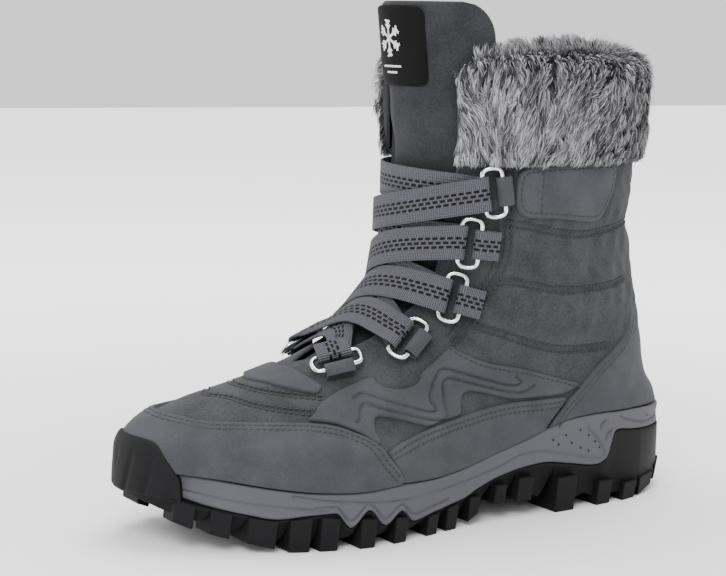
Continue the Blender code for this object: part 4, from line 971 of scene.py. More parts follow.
def bumper_relief(base, places, inward):
    """Upright grooves over the front of the bumper, deeper towards its foot and fanned out."""
    across, z = base[:, 0] + 0.008, base[:, 2]
    lane = (across + np.sign(across) * 0.25 * (0.040 - z)) / 0.0092
    off = (lane - np.round(lane)) * 0.0092
    deep = np.clip((0.043 - z) / 0.012, 0, 1) * np.clip(inward / 0.0014, 0, 1)
    return -0.0010 * np.exp(-((off / 0.0012) ** 2)) * deep


bumper_outline = np.concatenate([across_toe(BUMPER_EDGE), mirrored(foot_run(268.5, 279.9, 0.0105)[1:]), foot_run(268.5, 279.9, 0.0105)[::-1][:-1]])
bumper = panel("toe_bumper_rubber", bumper_outline, rubber, thick=0.0034, rounding=0.0014, step=0.0009, relief=bumper_relief)
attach(bumper, "root")
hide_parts("toe_bumper")


# Tongue
# A padded suede tongue that stands well above the collar, with a folded black label sewn to its front.

TONGUE_TOP = 0.232
TONGUE_FOOT = 0.058
TONGUE_LEAN = 0.008
TONGUE_OUT = -(WALL + 0.0014)
TONGUE_THICK = 0.006
TONGUE_CORNER = 0.016


def tongue_point(turn, z, out):
    """A point of the tongue, whose middle leans forwards above the ankle."""
    points = last(turn, z, out)
    lean_from = float(height(1.6))
    share = np.clip((z - lean_from) / (TONGUE_TOP - lean_from), 0, 1)
    points[:, 1] -= TONGUE_LEAN * share**1.5 * np.cos(turn) ** 2
    return points


def tongue_half(z):
    """Half the tongue's width, as a turn, at a height."""
    up = 1 + (z - VAMP) / (COLLAR - VAMP)
    opening = throat_turn(np.clip(up, 1.02, 2.0))
    spare = np.interp(up, (0.9, 1.2, 1.6, 1.75, 2.0), (0.35, 0.24, 0.20, 0.17, 0.17))
    below_top = np.clip((TONGUE_TOP - z) / TONGUE_CORNER, 0, 1)
    return (opening + spare) * (0.76 + 0.24 * np.sqrt(1 - (1 - below_top) ** 2))


rows, columns, depth_steps = 150, 61, 12
level = np.linspace(TONGUE_FOOT, TONGUE_TOP, rows)
half = tongue_half(level)
around = np.linspace(0, 2 * np.pi, 2 * columns + 1)[:-1]
across = np.sign(np.cos(around)) * np.abs(np.cos(around)) ** 0.55
through = np.sin(around)
turn_grid = half[:, None] * across[None, :]
z_grid = np.repeat(level[:, None], len(around), axis=1)
fatness = np.sqrt(np.clip(1 - np.clip((level - TONGUE_TOP + 0.006) / 0.0062, 0, 1) ** 2, 0.02, 1))[:, None]
out_grid = TONGUE_OUT - TONGUE_THICK / 2 + TONGUE_THICK / 2 * np.sign(through) * np.abs(through) ** 0.7 * fatness
out_grid = out_grid + 0.0004 * np.sin(z_grid * 260 + 3 * across[None, :]) * (through > 0)
flat_points = tongue_point(turn_grid.ravel(), z_grid.ravel(), out_grid.ravel())
faces = [tuple(q) for q in grid_faces(rows, len(around), closed=True)]
faces.append(tuple(range((rows - 1) * len(around), rows * len(around))))
# The tongue wears the darker copy of the suede: painted shade.
tongue = new_mesh("tongue_suede", flat_points, faces, SHADED_TONGUE_SUEDE)
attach(tongue, "root")
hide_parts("tongue")

LABEL_HALF = 0.0205 / 0.046
LABEL_LOW, LABEL_HIGH = 0.1942, 0.2300
LABEL_CORNER = 0.0042
label_cloth, label_tree, label_shader = new_material("black satin label")
label_place = node(label_tree, "ShaderNodeTexCoord")
weave = node(label_tree, "ShaderNodeTexWave", [("Vector", label_place.outputs["Object"])], Scale=700.0, bands_direction="Z")
weave_bump = node(label_tree, "ShaderNodeBump", [("Height", weave.outputs["Fac"])], Strength=0.3, Distance=0.00006)
label_tree.links.new(weave_bump.outputs["Normal"], label_shader.inputs["Normal"])
label_shader.inputs["Base Color"].default_value = linear("#0b0b0c")
label_shader.inputs["Roughness"].default_value = 0.75
label_shader.inputs["Specular IOR Level"].default_value = 0.1
rows, columns = 40, 41
turn_line = np.linspace(-LABEL_HALF, LABEL_HALF, columns)
z_line = np.linspace(LABEL_LOW, LABEL_HIGH, rows)
a, b = np.meshgrid(turn_line, z_line)
into_corner = 1 - np.clip(np.minimum(b - LABEL_LOW, LABEL_HIGH - b) / LABEL_CORNER, 0, 1)
a = a * (1 - LABEL_CORNER / 0.0205 * (1 - np.sqrt(1 - into_corner**2)))
edge_share = np.minimum(1, np.minimum((1 - np.abs(a) / LABEL_HALF) * 12, np.minimum(b - LABEL_LOW, LABEL_HIGH - b) / 0.0012))
label_out = TONGUE_OUT + 0.0004 + 0.0012 * np.sqrt(np.clip(edge_share, 0, 1))
front_side = tongue_point(a.ravel(), b.ravel(), label_out.ravel())
label = new_mesh("label_cloth", front_side, grid_faces(rows, columns), label_cloth)
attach(label, "root")
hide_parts("tongue_label")

pale_thread, pale_tree, pale_shader = new_material("pale thread")
pale_shader.inputs["Base Color"].default_value = linear("#c9c9cc")
pale_shader.inputs["Roughness"].default_value = 0.6


def embroider(strokes, name, width=0.0012, centre_z=0.2135, radius=0.046):
    """Raised satin stitches along short straight strokes, given in metres on the label."""
    made_points, made_faces = [], []
    for (ax, az), (bx, bz) in strokes:
        run = np.array([bx - ax, bz - az])
        side = np.array([-run[1], run[0]]) / np.linalg.norm(run) * width / 2
        base = len(made_points)
        for share in np.linspace(0, 1, 6):
            x, z0 = np.array([ax, az]) + run * share
            for across, rise in ((-1, 0.0), (0, 0.00045), (1, 0.0)):
                place_turn = (x + side[0] * across) / radius
                place_z = centre_z + z0 + side[1] * across
                spot = tongue_point(np.array([place_turn]), np.array([place_z]), TONGUE_OUT + 0.0017 + rise)
                made_points.append(spot[0])
        for k in range(5):
            for j in range(2):
                a0 = base + k * 3 + j
                made_faces.append((a0, a0 + 1, a0 + 4, a0 + 3))
    piece = new_mesh(name, made_points, made_faces, pale_thread)
    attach(piece, "root")
    return piece


flake = []
for k in range(6):
    angle = math.pi * k / 3 + math.pi / 6
    tip = np.array([math.cos(angle), math.sin(angle)])
    cross = np.array([-tip[1], tip[0]])
    flake.append(((0.0, 0.0), tuple(tip * 0.0080)))
    for reach in (0.0042, 0.0062):
        for way in (1, -1):
            flake.append((tuple(tip * reach), tuple(tip * (reach + 0.0018) + cross * way * 0.0018)))
embroider([((ax, az + 0.002), (bx, bz + 0.002)) for (ax, az), (bx, bz) in flake], "label_snowflake")
embroider([((-0.0075, -0.0105), (0.0075, -0.0105)), ((-0.0045, -0.0132), (0.0045, -0.0132))], "label_bars", 0.0009)

# Strap tab
# A folded nubuck tab at the ankle, sewn flat, that holds the top ring.

STRAP_TAB = (
    (115.5, 159.2), (105, 160.8), (76, 161.6), (64, 161.4), (60.3, 159.5), (60, 154), (62.9, 145.5),
    (67, 138.7), (70.2, 135.3), (76, 134.6), (96, 137.2), (115.5, 137.8),
)


def tab_relief(base, places, inward):
    return 0.0006 * np.clip(inward / 0.006, 0, 1) ** 0.6


strap_tab = panel("strap_tab_leather", chart(STRAP_TAB), NUBUCK, thick=0.0026, rounding=0.0013, relief=tab_relief)
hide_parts("strap_tab")
tab_line = even(chart(STRAP_TAB), THREAD_PITCH, closed=True)
if (tab_line[:, 0] * np.roll(tab_line[:, 1], -1) - np.roll(tab_line[:, 0], -1) * tab_line[:, 1]).sum() < 0:
    tab_line = tab_line[::-1]
inset_tab = shifted(tab_line, 0.0022, closed=True)
sew(np.concatenate([inset_tab, inset_tab[:1]]), 0.0029)
sew(even(chart(((104, 158.6), (104.2, 148), (104, 139.4))), THREAD_PITCH), 0.0031)

# Rings
# Chromed wire, 2.2 mm thick, bent to long rings: five on the lateral side and four medial.

WIRE = 0.0022
RING_LENGTH = 0.024
RING_WIDTH = 0.011
RING_END = 0.0034
RING_OUT = 0.0043
WIRE_CLEARANCE = 0.0006
RINGS = (
    # name, side, along, up, lean from upright in degrees, reach of the keeper in metres
    ("lateral_1", 1, 0.440, 1.580, 8.4, 0.0035),
    ("lateral_2", 1, 0.467, 1.408, -5.0, 0.0080),
    ("lateral_3", 1, 0.491, 1.218, -19.5, 0.0080),
    ("lateral_4", 1, 0.568, 1.074, -49.7, 0.0030),
    ("lateral_5", 1, 0.680, 1.000, -74.6, 0.0035),
    ("medial_1", -1, 0.462, 1.450, -4.0, 0.0080),
    ("medial_2", -1, 0.484, 1.255, -16.0, 0.0080),
    ("medial_3", -1, 0.550, 1.100, -48.0, 0.0030),
    ("medial_4", -1, 0.650, 1.012, -70.0, 0.0035),
)


def ring_frame(side, along, up, lean):
    """Centre of a ring, its long axis, the way out from the throat, and its chart."""
    z = float(height(up))
    length = along * SOLE

    def surface(ahead, above):
        turn = side * turn_at(length + ahead, np.array([z + above]))
        return last(turn, z + above, RING_OUT)[0]

    step = 0.001
    lean = math.radians(lean)
    axis = surface(step * math.sin(lean), step * math.cos(lean)) - surface(-step * math.sin(lean), -step * math.cos(lean))
    axis /= np.linalg.norm(axis)
    turn = side * float(turn_at(length, np.array([z]))[0])
    centre = surface(0.0, 0.0)
    normal = centre - last(turn, z, 0.0)[0]
    normal /= np.linalg.norm(normal)
    axis -= normal * axis.dot(normal)
    axis /= np.linalg.norm(axis)
    away = np.cross(axis, normal) * side
    turned = last(np.array([turn - 0.01, turn + 0.01]), z)
    raised = last(np.array([turn, turn]), np.array([z - step, z + step]))
    slopes = np.stack([(turned[1] - turned[0]) / 0.02, (raised[1] - raised[0]) / (2 * step)], axis=1)
    ways, *_ = np.linalg.lstsq(slopes, away, rcond=None)
    return {
        "side": side, "centre": centre, "axis": axis, "away": away, "normal": normal, "turn": turn, "z": z, "chart": ways,
    }


chrome, chrome_tree, chrome_shader = new_material("chromed steel")
chrome_shader.inputs["Base Color"].default_value = linear("#d5d6d9")
chrome_shader.inputs["Metallic"].default_value = 1.0
chrome_shader.inputs["Roughness"].default_value = 0.16
ring_radius = (RING_WIDTH - WIRE) / 2
ring_half = (RING_LENGTH - WIRE) / 2 - RING_END
frames = {}
ring_points = []
ring_faces = []
for name, side, along_share, up, lean, reach in RINGS:
    shape = ring_frame(side, along_share, up, lean)
    shape["reach"] = reach
    frames[name] = shape
    start = len(ring_points)
    path = []
    for end in (1, -1):
        for k in range(15):
            angle = math.pi * k / 14
            across = end * ring_radius * math.copysign(abs(math.cos(angle)) ** 0.8, math.cos(angle))
            lengthwise = end * (ring_half + RING_END * math.sin(angle) ** 0.8)
            path.append((across, lengthwise))
        path += [(-end * ring_radius, end * ring_half * share) for share in (0.6, 0.2, -0.2, -0.6)]
    path = np.array(path)
    ahead = np.roll(path, -1, axis=0) - np.roll(path, 1, axis=0)
    ahead /= np.linalg.norm(ahead, axis=1, keepdims=True)
    for (a, b), (da, db) in zip(path, ahead):
        middle = shape["centre"] + shape["away"] * a + shape["axis"] * b
        outward = shape["away"] * db - shape["axis"] * da
        for k in range(12):
            angle = 2 * math.pi * k / 12
            ring_points.append(middle + (outward * math.cos(angle) + shape["normal"] * math.sin(angle)) * WIRE / 2)
    count = len(path)
    for k in range(count):
        for j in range(12):
            a, b = start + k * 12 + j, start + k * 12 + (j + 1) % 12
            c, d = start + (k + 1) % count * 12 + (j + 1) % 12, start + (k + 1) % count * 12 + j
            ring_faces.append((a, b, c, d))
rings_piece = new_mesh("rings_chrome", ring_points, ring_faces, chrome)
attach(rings_piece, "root")
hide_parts(*["ring_" + row[0] for row in RINGS])

# Webbing and keepers
# Ribbed polyester tape, 15.5 mm wide, with three rows of dark woven dashes. One length runs
# from the medial seam through all the rings; short loops of tape or leather hold the rings.

WEB_WIDTH = 0.0155
WEB_THICKNESS = 0.0012
KEEPER_THICKNESS = 0.0011
KEEPER_WIDTH = 0.013
WEB_END_TURN = math.radians(63)
WEB_END_UP = 1.605
WEB_TAIL = 0.006
UNDER_LIFT = 0.0025
OVER_LIFT = 0.0050
PASSES = (
    # from ring, to ring, height where the strip crosses the ridge, over or under
    (None, "lateral_1", 1.602, "under"),
    ("lateral_1", "medial_1", 1.504, "over"),
    ("medial_1", "lateral_2", 1.436, "under"),
    ("lateral_2", "medial_2", 1.368, "over"),
    ("medial_2", "lateral_3", 1.301, "under"),
    ("lateral_3", "medial_3", 1.244, "over"),
    ("medial_3", "lateral_4", 1.192, "under"),
    ("lateral_4", "medial_4", 1.143, "over"),
    ("medial_4", "lateral_5", 1.094, "under"),
)
tape, tape_tree, tape_shader = new_material("ribbed polyester tape")
tape_uv = node(tape_tree, "ShaderNodeUVMap", uv_map="tape")
tape_parts = node(tape_tree, "ShaderNodeSeparateXYZ", [(0, tape_uv.outputs[0])])


def maths(operation, first, second=None, third=None):
    """A maths node of the tape's weave; numbers go straight into its sockets."""
    made = tape_tree.nodes.new("ShaderNodeMath")
    made.operation = operation
    for index, value in enumerate((first, second, third)):
        if value is None:
            continue
        if isinstance(value, (int, float)):
            made.inputs[index].default_value = value
        else:
            tape_tree.links.new(value, made.inputs[index])
    return made.outputs[0]


run_mm, across_mm = tape_parts.outputs[0], tape_parts.outputs[1]
rib = maths("SINE", maths("MULTIPLY", run_mm, 2 * math.pi / 0.85))
cord = maths("SINE", maths("MULTIPLY", across_mm, 2 * math.pi / 1.25))
row_number = maths("FLOOR", maths("DIVIDE", maths("ADD", across_mm, 3.0), 2.0))
in_row = maths("FRACT", maths("DIVIDE", maths("ADD", across_mm, 3.0), 2.0))
in_band = maths("MULTIPLY", maths("GREATER_THAN", across_mm, -3.0), maths("LESS_THAN", across_mm, 3.0))
in_line = maths("MULTIPLY", maths("GREATER_THAN", in_row, 0.20), maths("LESS_THAN", in_row, 0.78))
shift = maths("MULTIPLY", maths("PINGPONG", row_number, 1.0), 1.7)
in_dash = maths("LESS_THAN", maths("FRACT", maths("DIVIDE", maths("ADD", run_mm, shift), 3.4)), 0.64)
dash = maths("MULTIPLY", maths("MULTIPLY", in_band, in_line), in_dash)
tape_mix = node(tape_tree, "ShaderNodeMix", [(0, dash)], data_type="RGBA")
tape_colours = [i for i in tape_mix.inputs if i.type == "RGBA"]
# The tape's ground colour runs from dark in each rib's trough to light on its crest, following the bump: painted rib
# shading.
rib_shade_ramp = node(tape_tree, "ShaderNodeMapRange", [("Value", rib)], From_Min=-1.0, From_Max=1.0)
rib_shaded_tape_ground = node(tape_tree, "ShaderNodeMix", [(0, rib_shade_ramp.outputs[0])], data_type="RGBA")
rib_shaded_colours = [i for i in rib_shaded_tape_ground.inputs if i.type == "RGBA"]
rib_shaded_colours[0].default_value = linear("#38373d")
rib_shaded_colours[1].default_value = linear("#5c5b64")
tape_tree.links.new([o for o in rib_shaded_tape_ground.outputs if o.type == "RGBA"][0], tape_colours[0])
tape_colours[1].default_value = linear("#0d0d0f")
tape_tree.links.new([o for o in tape_mix.outputs if o.type == "RGBA"][0], tape_shader.inputs["Base Color"])
tape_high = maths("ADD", maths("MULTIPLY", rib, 0.5), maths("ADD", maths("MULTIPLY", cord, 0.5), maths("MULTIPLY", dash, -0.6)))
tape_bump = node(tape_tree, "ShaderNodeBump", [("Height", tape_high)], Strength=0.9, Distance=0.0003)
tape_tree.links.new(tape_bump.outputs["Normal"], tape_shader.inputs["Normal"])
tape_shader.inputs["Roughness"].default_value = 0.75
tape_shader.inputs["Specular IOR Level"].default_value = 0.2


def ribbon(name, stations, width, thickness, finish, step=0.0007, across=13):
    """A flat strip with rounded edges along stations of centre and width direction."""
    centres = np.array([s[0] for s in stations])
    widths = np.array([s[1] for s in stations])
    run = np.concatenate([[0], np.cumsum(np.linalg.norm(np.diff(centres, axis=0), axis=1))])
    stops = np.linspace(0, run[-1], int(run[-1] / step))
    knots = np.concatenate([centres, widths], axis=1)
    fine = smooth_through(run, knots, stops)
    centres, widths = fine[:, :3], fine[:, 3:]
    widths /= np.linalg.norm(widths, axis=1, keepdims=True)
    tangents = np.gradient(centres, axis=0)
    normals = np.cross(widths, tangents)
    normals /= np.linalg.norm(normals, axis=1, keepdims=True)
    profile = []
    for k in range(across):
        share = -1 + 2 * k / (across - 1)
        profile.append((share, 1.0))
    profile = [(-1.0, 0.0), (-0.985, 0.75)] + [(s * 0.955, 1.0) for s, _ in profile] + [(0.985, 0.75), (1.0, 0.0)]
    profile += [(0.985, -0.75)] + [(-s * 0.955, -1.0) for s, _ in [(-1 + 2 * k / 4, 0) for k in range(5)]] + [(-0.985, -0.75)]
    rings = [centres + widths * a * width / 2 + normals * b * thickness / 2 for a, b in profile]
    points = np.stack(rings, axis=1).reshape(-1, 3)
    sides = len(profile)
    faces = grid_faces(len(centres), sides, closed=True, flip=True)
    piece = new_mesh(name, points, faces, finish)
    layer = piece.data.uv_layers.new(name="tape")
    u = np.repeat(stops * 1000, sides)
    v = np.tile([a * width / 2 * 1000 for a, _ in profile], len(centres))
    loops = np.zeros(len(piece.data.loops), int)
    piece.data.loops.foreach_get("vertex_index", loops)
    layer.data.foreach_set("uv", np.stack([u[loops], v[loops]], axis=1).ravel())
    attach(piece, "root")
    return piece


def smooth_through(run, knots, stops):
    """A smooth curve through knots, with the slope at each from its neighbours."""
    slope = np.gradient(knots, run, axis=0)
    k = np.clip(np.searchsorted(run, stops, side="right") - 1, 0, len(run) - 2)
    h = (run[k + 1] - run[k])[:, None]
    t = ((stops - run[k]) / (run[k + 1] - run[k]))[:, None]
    start = knots[k] * (1 + 2 * t) * (1 - t) ** 2 + h * slope[k] * t * (1 - t) ** 2
    end = knots[k + 1] * t * t * (3 - 2 * t) + h * slope[k + 1] * t * t * (t - 1)
    return start + end


loop = WIRE / 2 + WIRE_CLEARANCE + WEB_THICKNESS / 2
low, high = RING_OUT - loop, RING_OUT + loop
upright = np.array([0.0, 0.0, 1.0])
stations = []


def crossing(start, end, ridge, out, peak):
    """Stations across the front, from one chart place to another over the ridge."""
    places = []
    for share in (0.10, 0.23, 0.36, 0.5, 0.64, 0.77, 0.90):
        turn = start[0] + (end[0] - start[0]) * share
        towards = 1 - abs(turn) / max(abs(start[0]), abs(end[0]))
        z = start[1] + (end[1] - start[1]) * share
        z += (ridge - (start[1] + end[1]) / 2) * math.sin(math.pi * share)
        lift = out + (peak - out) * min(1.0, 1.6 * towards)
        width = start[2] * (1 - share) + end[2] * share
        point = last(turn, z, lift)[0]
        ahead = last(turn, z + 0.001, lift)[0] - point
        ahead /= np.linalg.norm(ahead)
        weight = min(1.0, 2 * towards)
        width = width * (1 - weight) + ahead * weight
        places.append((point, width / np.linalg.norm(width)))
    return places


def wire_chart(shape):
    return (shape["turn"] - shape["chart"][0] * ring_radius, shape["z"] - shape["chart"][1] * ring_radius)


for source, goal_name, ridge, way in PASSES:
    if source is None:
        begin = (-WEB_END_TURN, float(height(WEB_END_UP)), upright)
        stations.append((last(begin[0], begin[1], low)[0], upright))
    else:
        begin = (*wire_chart(frames[source]), frames[source]["axis"])
    goal = frames[goal_name]
    end = (*wire_chart(goal), goal["axis"])
    flat, peak = (low, UNDER_LIFT) if way == "under" else (high, OVER_LIFT)
    stations += crossing(begin, end, float(height(ridge)), flat, peak)
    wire = goal["centre"] - goal["away"] * ring_radius
    turns_up = 1 if way == "under" else -1
    for k in range(5):
        angle = turns_up * (-math.pi / 2 + math.pi * k / 4)
        around_wire = goal["away"] * math.cos(angle) + goal["normal"] * math.sin(angle)
        stations.append((wire + around_wire * loop, goal["axis"]))
stations.append((wire + goal["normal"] * loop - goal["away"] * WEB_TAIL, goal["axis"]))
webbing = ribbon("webbing_tape", stations, WEB_WIDTH, WEB_THICKNESS, tape)
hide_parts("webbing")

keeper_loop = WIRE / 2 + WIRE_CLEARANCE + KEEPER_THICKNESS / 2
for name, shape in frames.items():
    wire = shape["centre"] + shape["away"] * ring_radius
    keeper_low = RING_OUT - keeper_loop

    def anchor(distance, out):
        turn = shape["turn"] + shape["chart"][0] * (ring_radius + distance)
        z = shape["z"] + shape["chart"][1] * (ring_radius + distance)
        return last(turn, z, out)[0]

    stations = [(anchor(shape["reach"], keeper_low), shape["axis"]), (anchor(shape["reach"] / 2, keeper_low), shape["axis"])]
    for k in range(6):
        angle = -math.pi / 2 - math.pi * k / 4
        around_wire = shape["away"] * math.cos(angle) + shape["normal"] * math.sin(angle)
        stations.append((wire + around_wire * keeper_loop, shape["axis"]))
    stations.append((anchor(shape["reach"], keeper_low + KEEPER_THICKNESS + 0.0007), shape["axis"]))
    woven = shape["reach"] > 0.006
    keeper = ribbon("keeper_strip_" + name, stations, KEEPER_WIDTH, KEEPER_THICKNESS, tape if woven else NUBUCK, 0.0005)
    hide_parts("keeper_" + name)

# Fur cuff
# Long faux fur with pale tips over a dark ground, sewn round the collar and rolled in over its
# rim. It is combed down and forwards. One strand here stands for a lock of some twenty hairs.

CUFF_BOTTOM = 0.1645
CUFF_FRONT = 39
CUFF_PROFILE = (
    # way round, out, height, share of the top's rise
    (0.00, 0.0006, 0.1652, 0.0),
    (0.05, 0.0026, 0.1642, 0.0),
    (0.18, 0.0036, 0.1705, 0.0),
    (0.35, 0.0040, 0.1800, 0.0),
    (0.52, 0.0040, 0.1900, 0.4),
    (0.66, 0.0034, 0.2010, 0.9),
    (0.74, 0.0012, 0.2068, 1.0),
    (0.80, -0.0030, 0.2082, 1.0),
    (0.88, -0.0068, 0.2050, 0.8),
    (1.00, -0.0080, 0.1975, 0.0),
)
CUFF_ROUND = (
    # degrees from the front, thickness, turned in over the rim, rise of the top in metres
    (39, 0.72, 0.12, -0.0085),
    (43, 0.74, 0.12, -0.0040),
    (50, 0.78, 0.12, -0.0005),
    (66, 0.92, 0.12, 0.0000),
    (78, 1.00, 1.00, 0.0000),
    (90, 1.00, 1.00, 0.0000),
    (130, 1.00, 1.00, -0.0020),
    (155, 1.00, 1.00, -0.0020),
    (180, 1.00, 1.00, 0.0020),
    (215, 1.00, 1.00, 0.0060),
    (240, 1.00, 1.00, 0.0030),
    (270, 1.00, 1.00, -0.0010),
    (282, 1.00, 1.00, 0.0000),
    (294, 0.92, 0.12, 0.0000),
    (310, 0.78, 0.12, -0.0005),
    (317, 0.74, 0.12, -0.0040),
    (321, 0.72, 0.12, -0.0085),
)
COMBED = (
    # degrees from the front, degrees that the pile leans forwards from straight down
    (39, -14), (52, -6), (64, 14), (84, 30), (115, 38), (150, 42), (170, 28), (180, 0),
)
PILE_LENGTH = 0.0095
PILE_LIFT = 0.0026
PILE_PITCH = 0.00054
STRAND_WIDTH = 0.00046
TUFT = 0.0034
chance = np.random.default_rng(11)

ground_cloth, ground_tree, ground_shader = new_material("dark fur ground")
ground_shader.inputs["Base Color"].default_value = linear("#3a3a3c")
ground_shader.inputs["Roughness"].default_value = 1.0
ground_shader.inputs["Specular IOR Level"].default_value = 0.1

fur, fur_tree, fur_shader = new_material("grey tipped faux fur")
strand_map = node(fur_tree, "ShaderNodeUVMap", uv_map="strand")
strand_axes = node(fur_tree, "ShaderNodeSeparateXYZ", [("Vector", strand_map.outputs["UV"])])
tones = node(fur_tree, "ShaderNodeValToRGB", [("Fac", strand_axes.outputs["X"])])
for stop, (place_share, colour) in enumerate(((0.0, "#28282a"), (0.25, "#3e3e40"), (0.5, "#77777a"), (1.0, "#adadb0"))):
    element = tones.color_ramp.elements[stop] if stop < 2 else tones.color_ramp.elements.new(place_share)
    element.position = place_share
    element.color = linear(colour)
from_root = node(
    fur_tree, "ShaderNodeMapRange", [("Value", strand_axes.outputs["Y"])], From_Min=0.0, From_Max=0.55, To_Min=0.12
)
rooted = node(fur_tree, "ShaderNodeMix", [("Factor", from_root.outputs[0])], data_type="RGBA")
[i for i in rooted.inputs if i.name == "A" and i.type == "RGBA"][0].default_value = linear("#28282a")
fur_tree.links.new(tones.outputs["Color"], [i for i in rooted.inputs if i.name == "B" and i.type == "RGBA"][0])
fur_tree.links.new([o for o in rooted.outputs if o.type == "RGBA"][0], fur_shader.inputs["Base Color"])
fur_shader.inputs["Roughness"].default_value = 0.62
fur_shader.inputs["Specular IOR Level"].default_value = 0.35


def hide(turn, way):
    """The cloth under the pile, at a turn and a way round its roll."""
    profile = np.array(CUFF_PROFILE)
    sides = np.array(CUFF_ROUND)
    out, z, lifted = [smooth(profile[:, 0], profile[:, k], way) for k in (1, 2, 3)]
    slim, turned, rise = [np.interp(turn, np.radians(sides[:, 0]), sides[:, k]) for k in (1, 2, 3)]
    return last(turn, z + rise * lifted, out * np.where(out > 0, slim, turned))


def unit(vectors):
    return vectors / np.linalg.norm(vectors, axis=1, keepdims=True)


def strands(name, roots, normals, combs, lengths, lifts, tone):
    """Pile as tapered blades of a quad and a triangle, each with its tone along one axis of its map."""
    count = len(roots)
    twist = chance.normal(0, 0.55, count)[:, None]
    side = np.cross(combs, normals) * np.cos(twist) + normals * np.sin(twist)
    half = side * (STRAND_WIDTH / 2 * chance.uniform(0.7, 1.3, count))[:, None]
    lengths, lifts = np.asarray(lengths)[:, None], np.asarray(lifts)[:, None]
    sunk = roots - normals * 0.0004
    middle = roots + combs * lengths * 0.45 + normals * lifts * 0.85
    tips = roots + combs * lengths + normals * lifts
    points = np.stack([sunk - half * 0.7, sunk + half * 0.7, middle - half, middle + half, tips], axis=1)
    start = (np.arange(count) * 5)[:, None]
    faces = [None] * (2 * count)
    faces[0::2] = (np.array([[0, 1, 3, 2]]) + start).tolist()
    faces[1::2] = (np.array([[2, 3, 4]]) + start).tolist()
    piece = new_mesh(name, points.reshape(-1, 3), faces, fur)
    along_blade = np.broadcast_to([0, 0, 0.5, 0.5, 0.5, 0.5, 1], (count, 7))
    layer = piece.data.uv_layers.new(name="strand")
    layer.data.foreach_set("uv", np.stack([np.repeat(tone[:, None], 7, axis=1), along_blade], axis=-1).ravel())
    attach(piece, "root")
    return piece


def cuff_pile(name, turn, way, length=PILE_LENGTH, extra_lift=0.0):
    """The pile of a stretch of the roll, gathered in tufts."""
    roots = hide(turn, way)
    by_turn = unit(hide(turn + 0.002, way) - roots)
    by_way = unit(hide(turn, np.minimum(way + 0.002, 1)) - hide(turn, np.minimum(way + 0.002, 1) - 0.002))
    normals = unit(np.cross(by_turn, by_way))
    comb_table = np.array(COMBED, float)
    from_front = np.degrees(np.minimum(turn, 2 * np.pi - turn))
    lean = np.radians(np.interp(from_front, comb_table[:, 0], comb_table[:, 1]))
    lean += 0.16 * np.sin(turn * 9 + way * 8) + 0.12 * np.sin(turn * 23 - way * 13)
    girth = 0.058
    cell = np.stack([turn * girth / TUFT, way * 0.062 / (TUFT * 1.7)], axis=1)
    cell += 0.35 * np.sin(cell[:, ::-1] * 2.3)
    cell_key = np.floor(cell).astype(int)
    keys, tuft = np.unique(cell_key, axis=0, return_inverse=True)
    tuft = tuft.reshape(-1)
    tuft_lean, tuft_tone, tuft_lift = [chance.normal(0, 1, len(keys))[tuft] for _ in range(3)]
    lean += 0.20 * tuft_lean + chance.normal(0, 0.13, len(turn))
    forward = np.where(turn < np.pi, -1.0, 1.0)[:, None]
    combs = unit(-by_way * np.cos(lean)[:, None] + by_turn * forward * np.sin(lean)[:, None])
    total = np.maximum(np.bincount(tuft), 1)
    middle = np.stack([np.bincount(tuft, roots[:, k]) / total for k in range(3)], axis=1)[tuft]
    to_middle = middle - roots
    to_middle -= combs * (to_middle * combs).sum(1, keepdims=True)
    ridge = np.exp(-(((way - 0.74) / 0.10) ** 2))
    lengths = length * chance.uniform(0.75, 1.15, len(turn)) * (1 - 0.25 * ridge)
    lengths = np.minimum(lengths, np.maximum(roots[:, 2] - CUFF_BOTTOM, 0) + 0.0042)
    lifts = PILE_LIFT * (1 + 0.25 * tuft_lift + chance.normal(0, 0.22, len(turn))) * (1 + 0.5 * ridge) + extra_lift
    lifts = np.clip(lifts, 0.0008, 0.006)
    gathered = unit(combs + to_middle * 0.55 / lengths[:, None])
    tone = np.clip(0.52 + 0.17 * tuft_tone + chance.normal(0, 0.26, len(turn)), 0, 1)
    return strands(name, roots, normals, gathered, lengths, lifts, tone)


columns, rows = 181, 46
turn_line = np.radians(np.linspace(CUFF_FRONT, 360 - CUFF_FRONT, columns))
way_line = np.linspace(0, 1, rows)
hide_turn, hide_way = np.meshgrid(turn_line, way_line)
cloth_points = hide(hide_turn.ravel(), hide_way.ravel())
faces = [tuple(q) for q in grid_faces(rows, columns)]
faces.append(tuple(k * columns for k in range(rows)))
faces.append(tuple(k * columns + columns - 1 for k in reversed(range(rows))))
cuff_cloth = new_mesh("cuff_ground", cloth_points, faces, ground_cloth)
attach(cuff_cloth, "root")
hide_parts("fur_cuff")


def scattered(turn_from, turn_to, way_from, way_to, pitch):
    """Places strewn evenly over a stretch of the roll, in degrees and ways round."""
    across = int(math.radians(turn_to - turn_from) * 0.056 / pitch)
    up = int((way_to - way_from) * 0.062 / pitch)
    a, b = np.meshgrid((np.arange(across) + 0.5) / across, (np.arange(up) + 0.5) / up)
    a = a.ravel() + chance.uniform(-0.5, 0.5, a.size) / across
    b = b.ravel() + chance.uniform(-0.5, 0.5, b.size) / up
    return np.radians(turn_from + (turn_to - turn_from) * a), way_from + (way_to - way_from) * b


cuff_pile("cuff_pile_lateral", *scattered(CUFF_FRONT, 178, 0.03, 0.78, PILE_PITCH))
cuff_pile("cuff_pile_medial", *scattered(178, 360 - CUFF_FRONT, 0.03, 0.78, PILE_PITCH))
cuff_pile("cuff_pile_rolled_in", *scattered(CUFF_FRONT + 8, 352 - CUFF_FRONT, 0.78, 1.0, PILE_PITCH), 0.0075)


# Thread of all the seams
# Every stitch sewn above, in one piece.

sewn = new_mesh("stitches", np.concatenate(stitch_points), np.concatenate(stitch_faces), thread)
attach(sewn, "root")
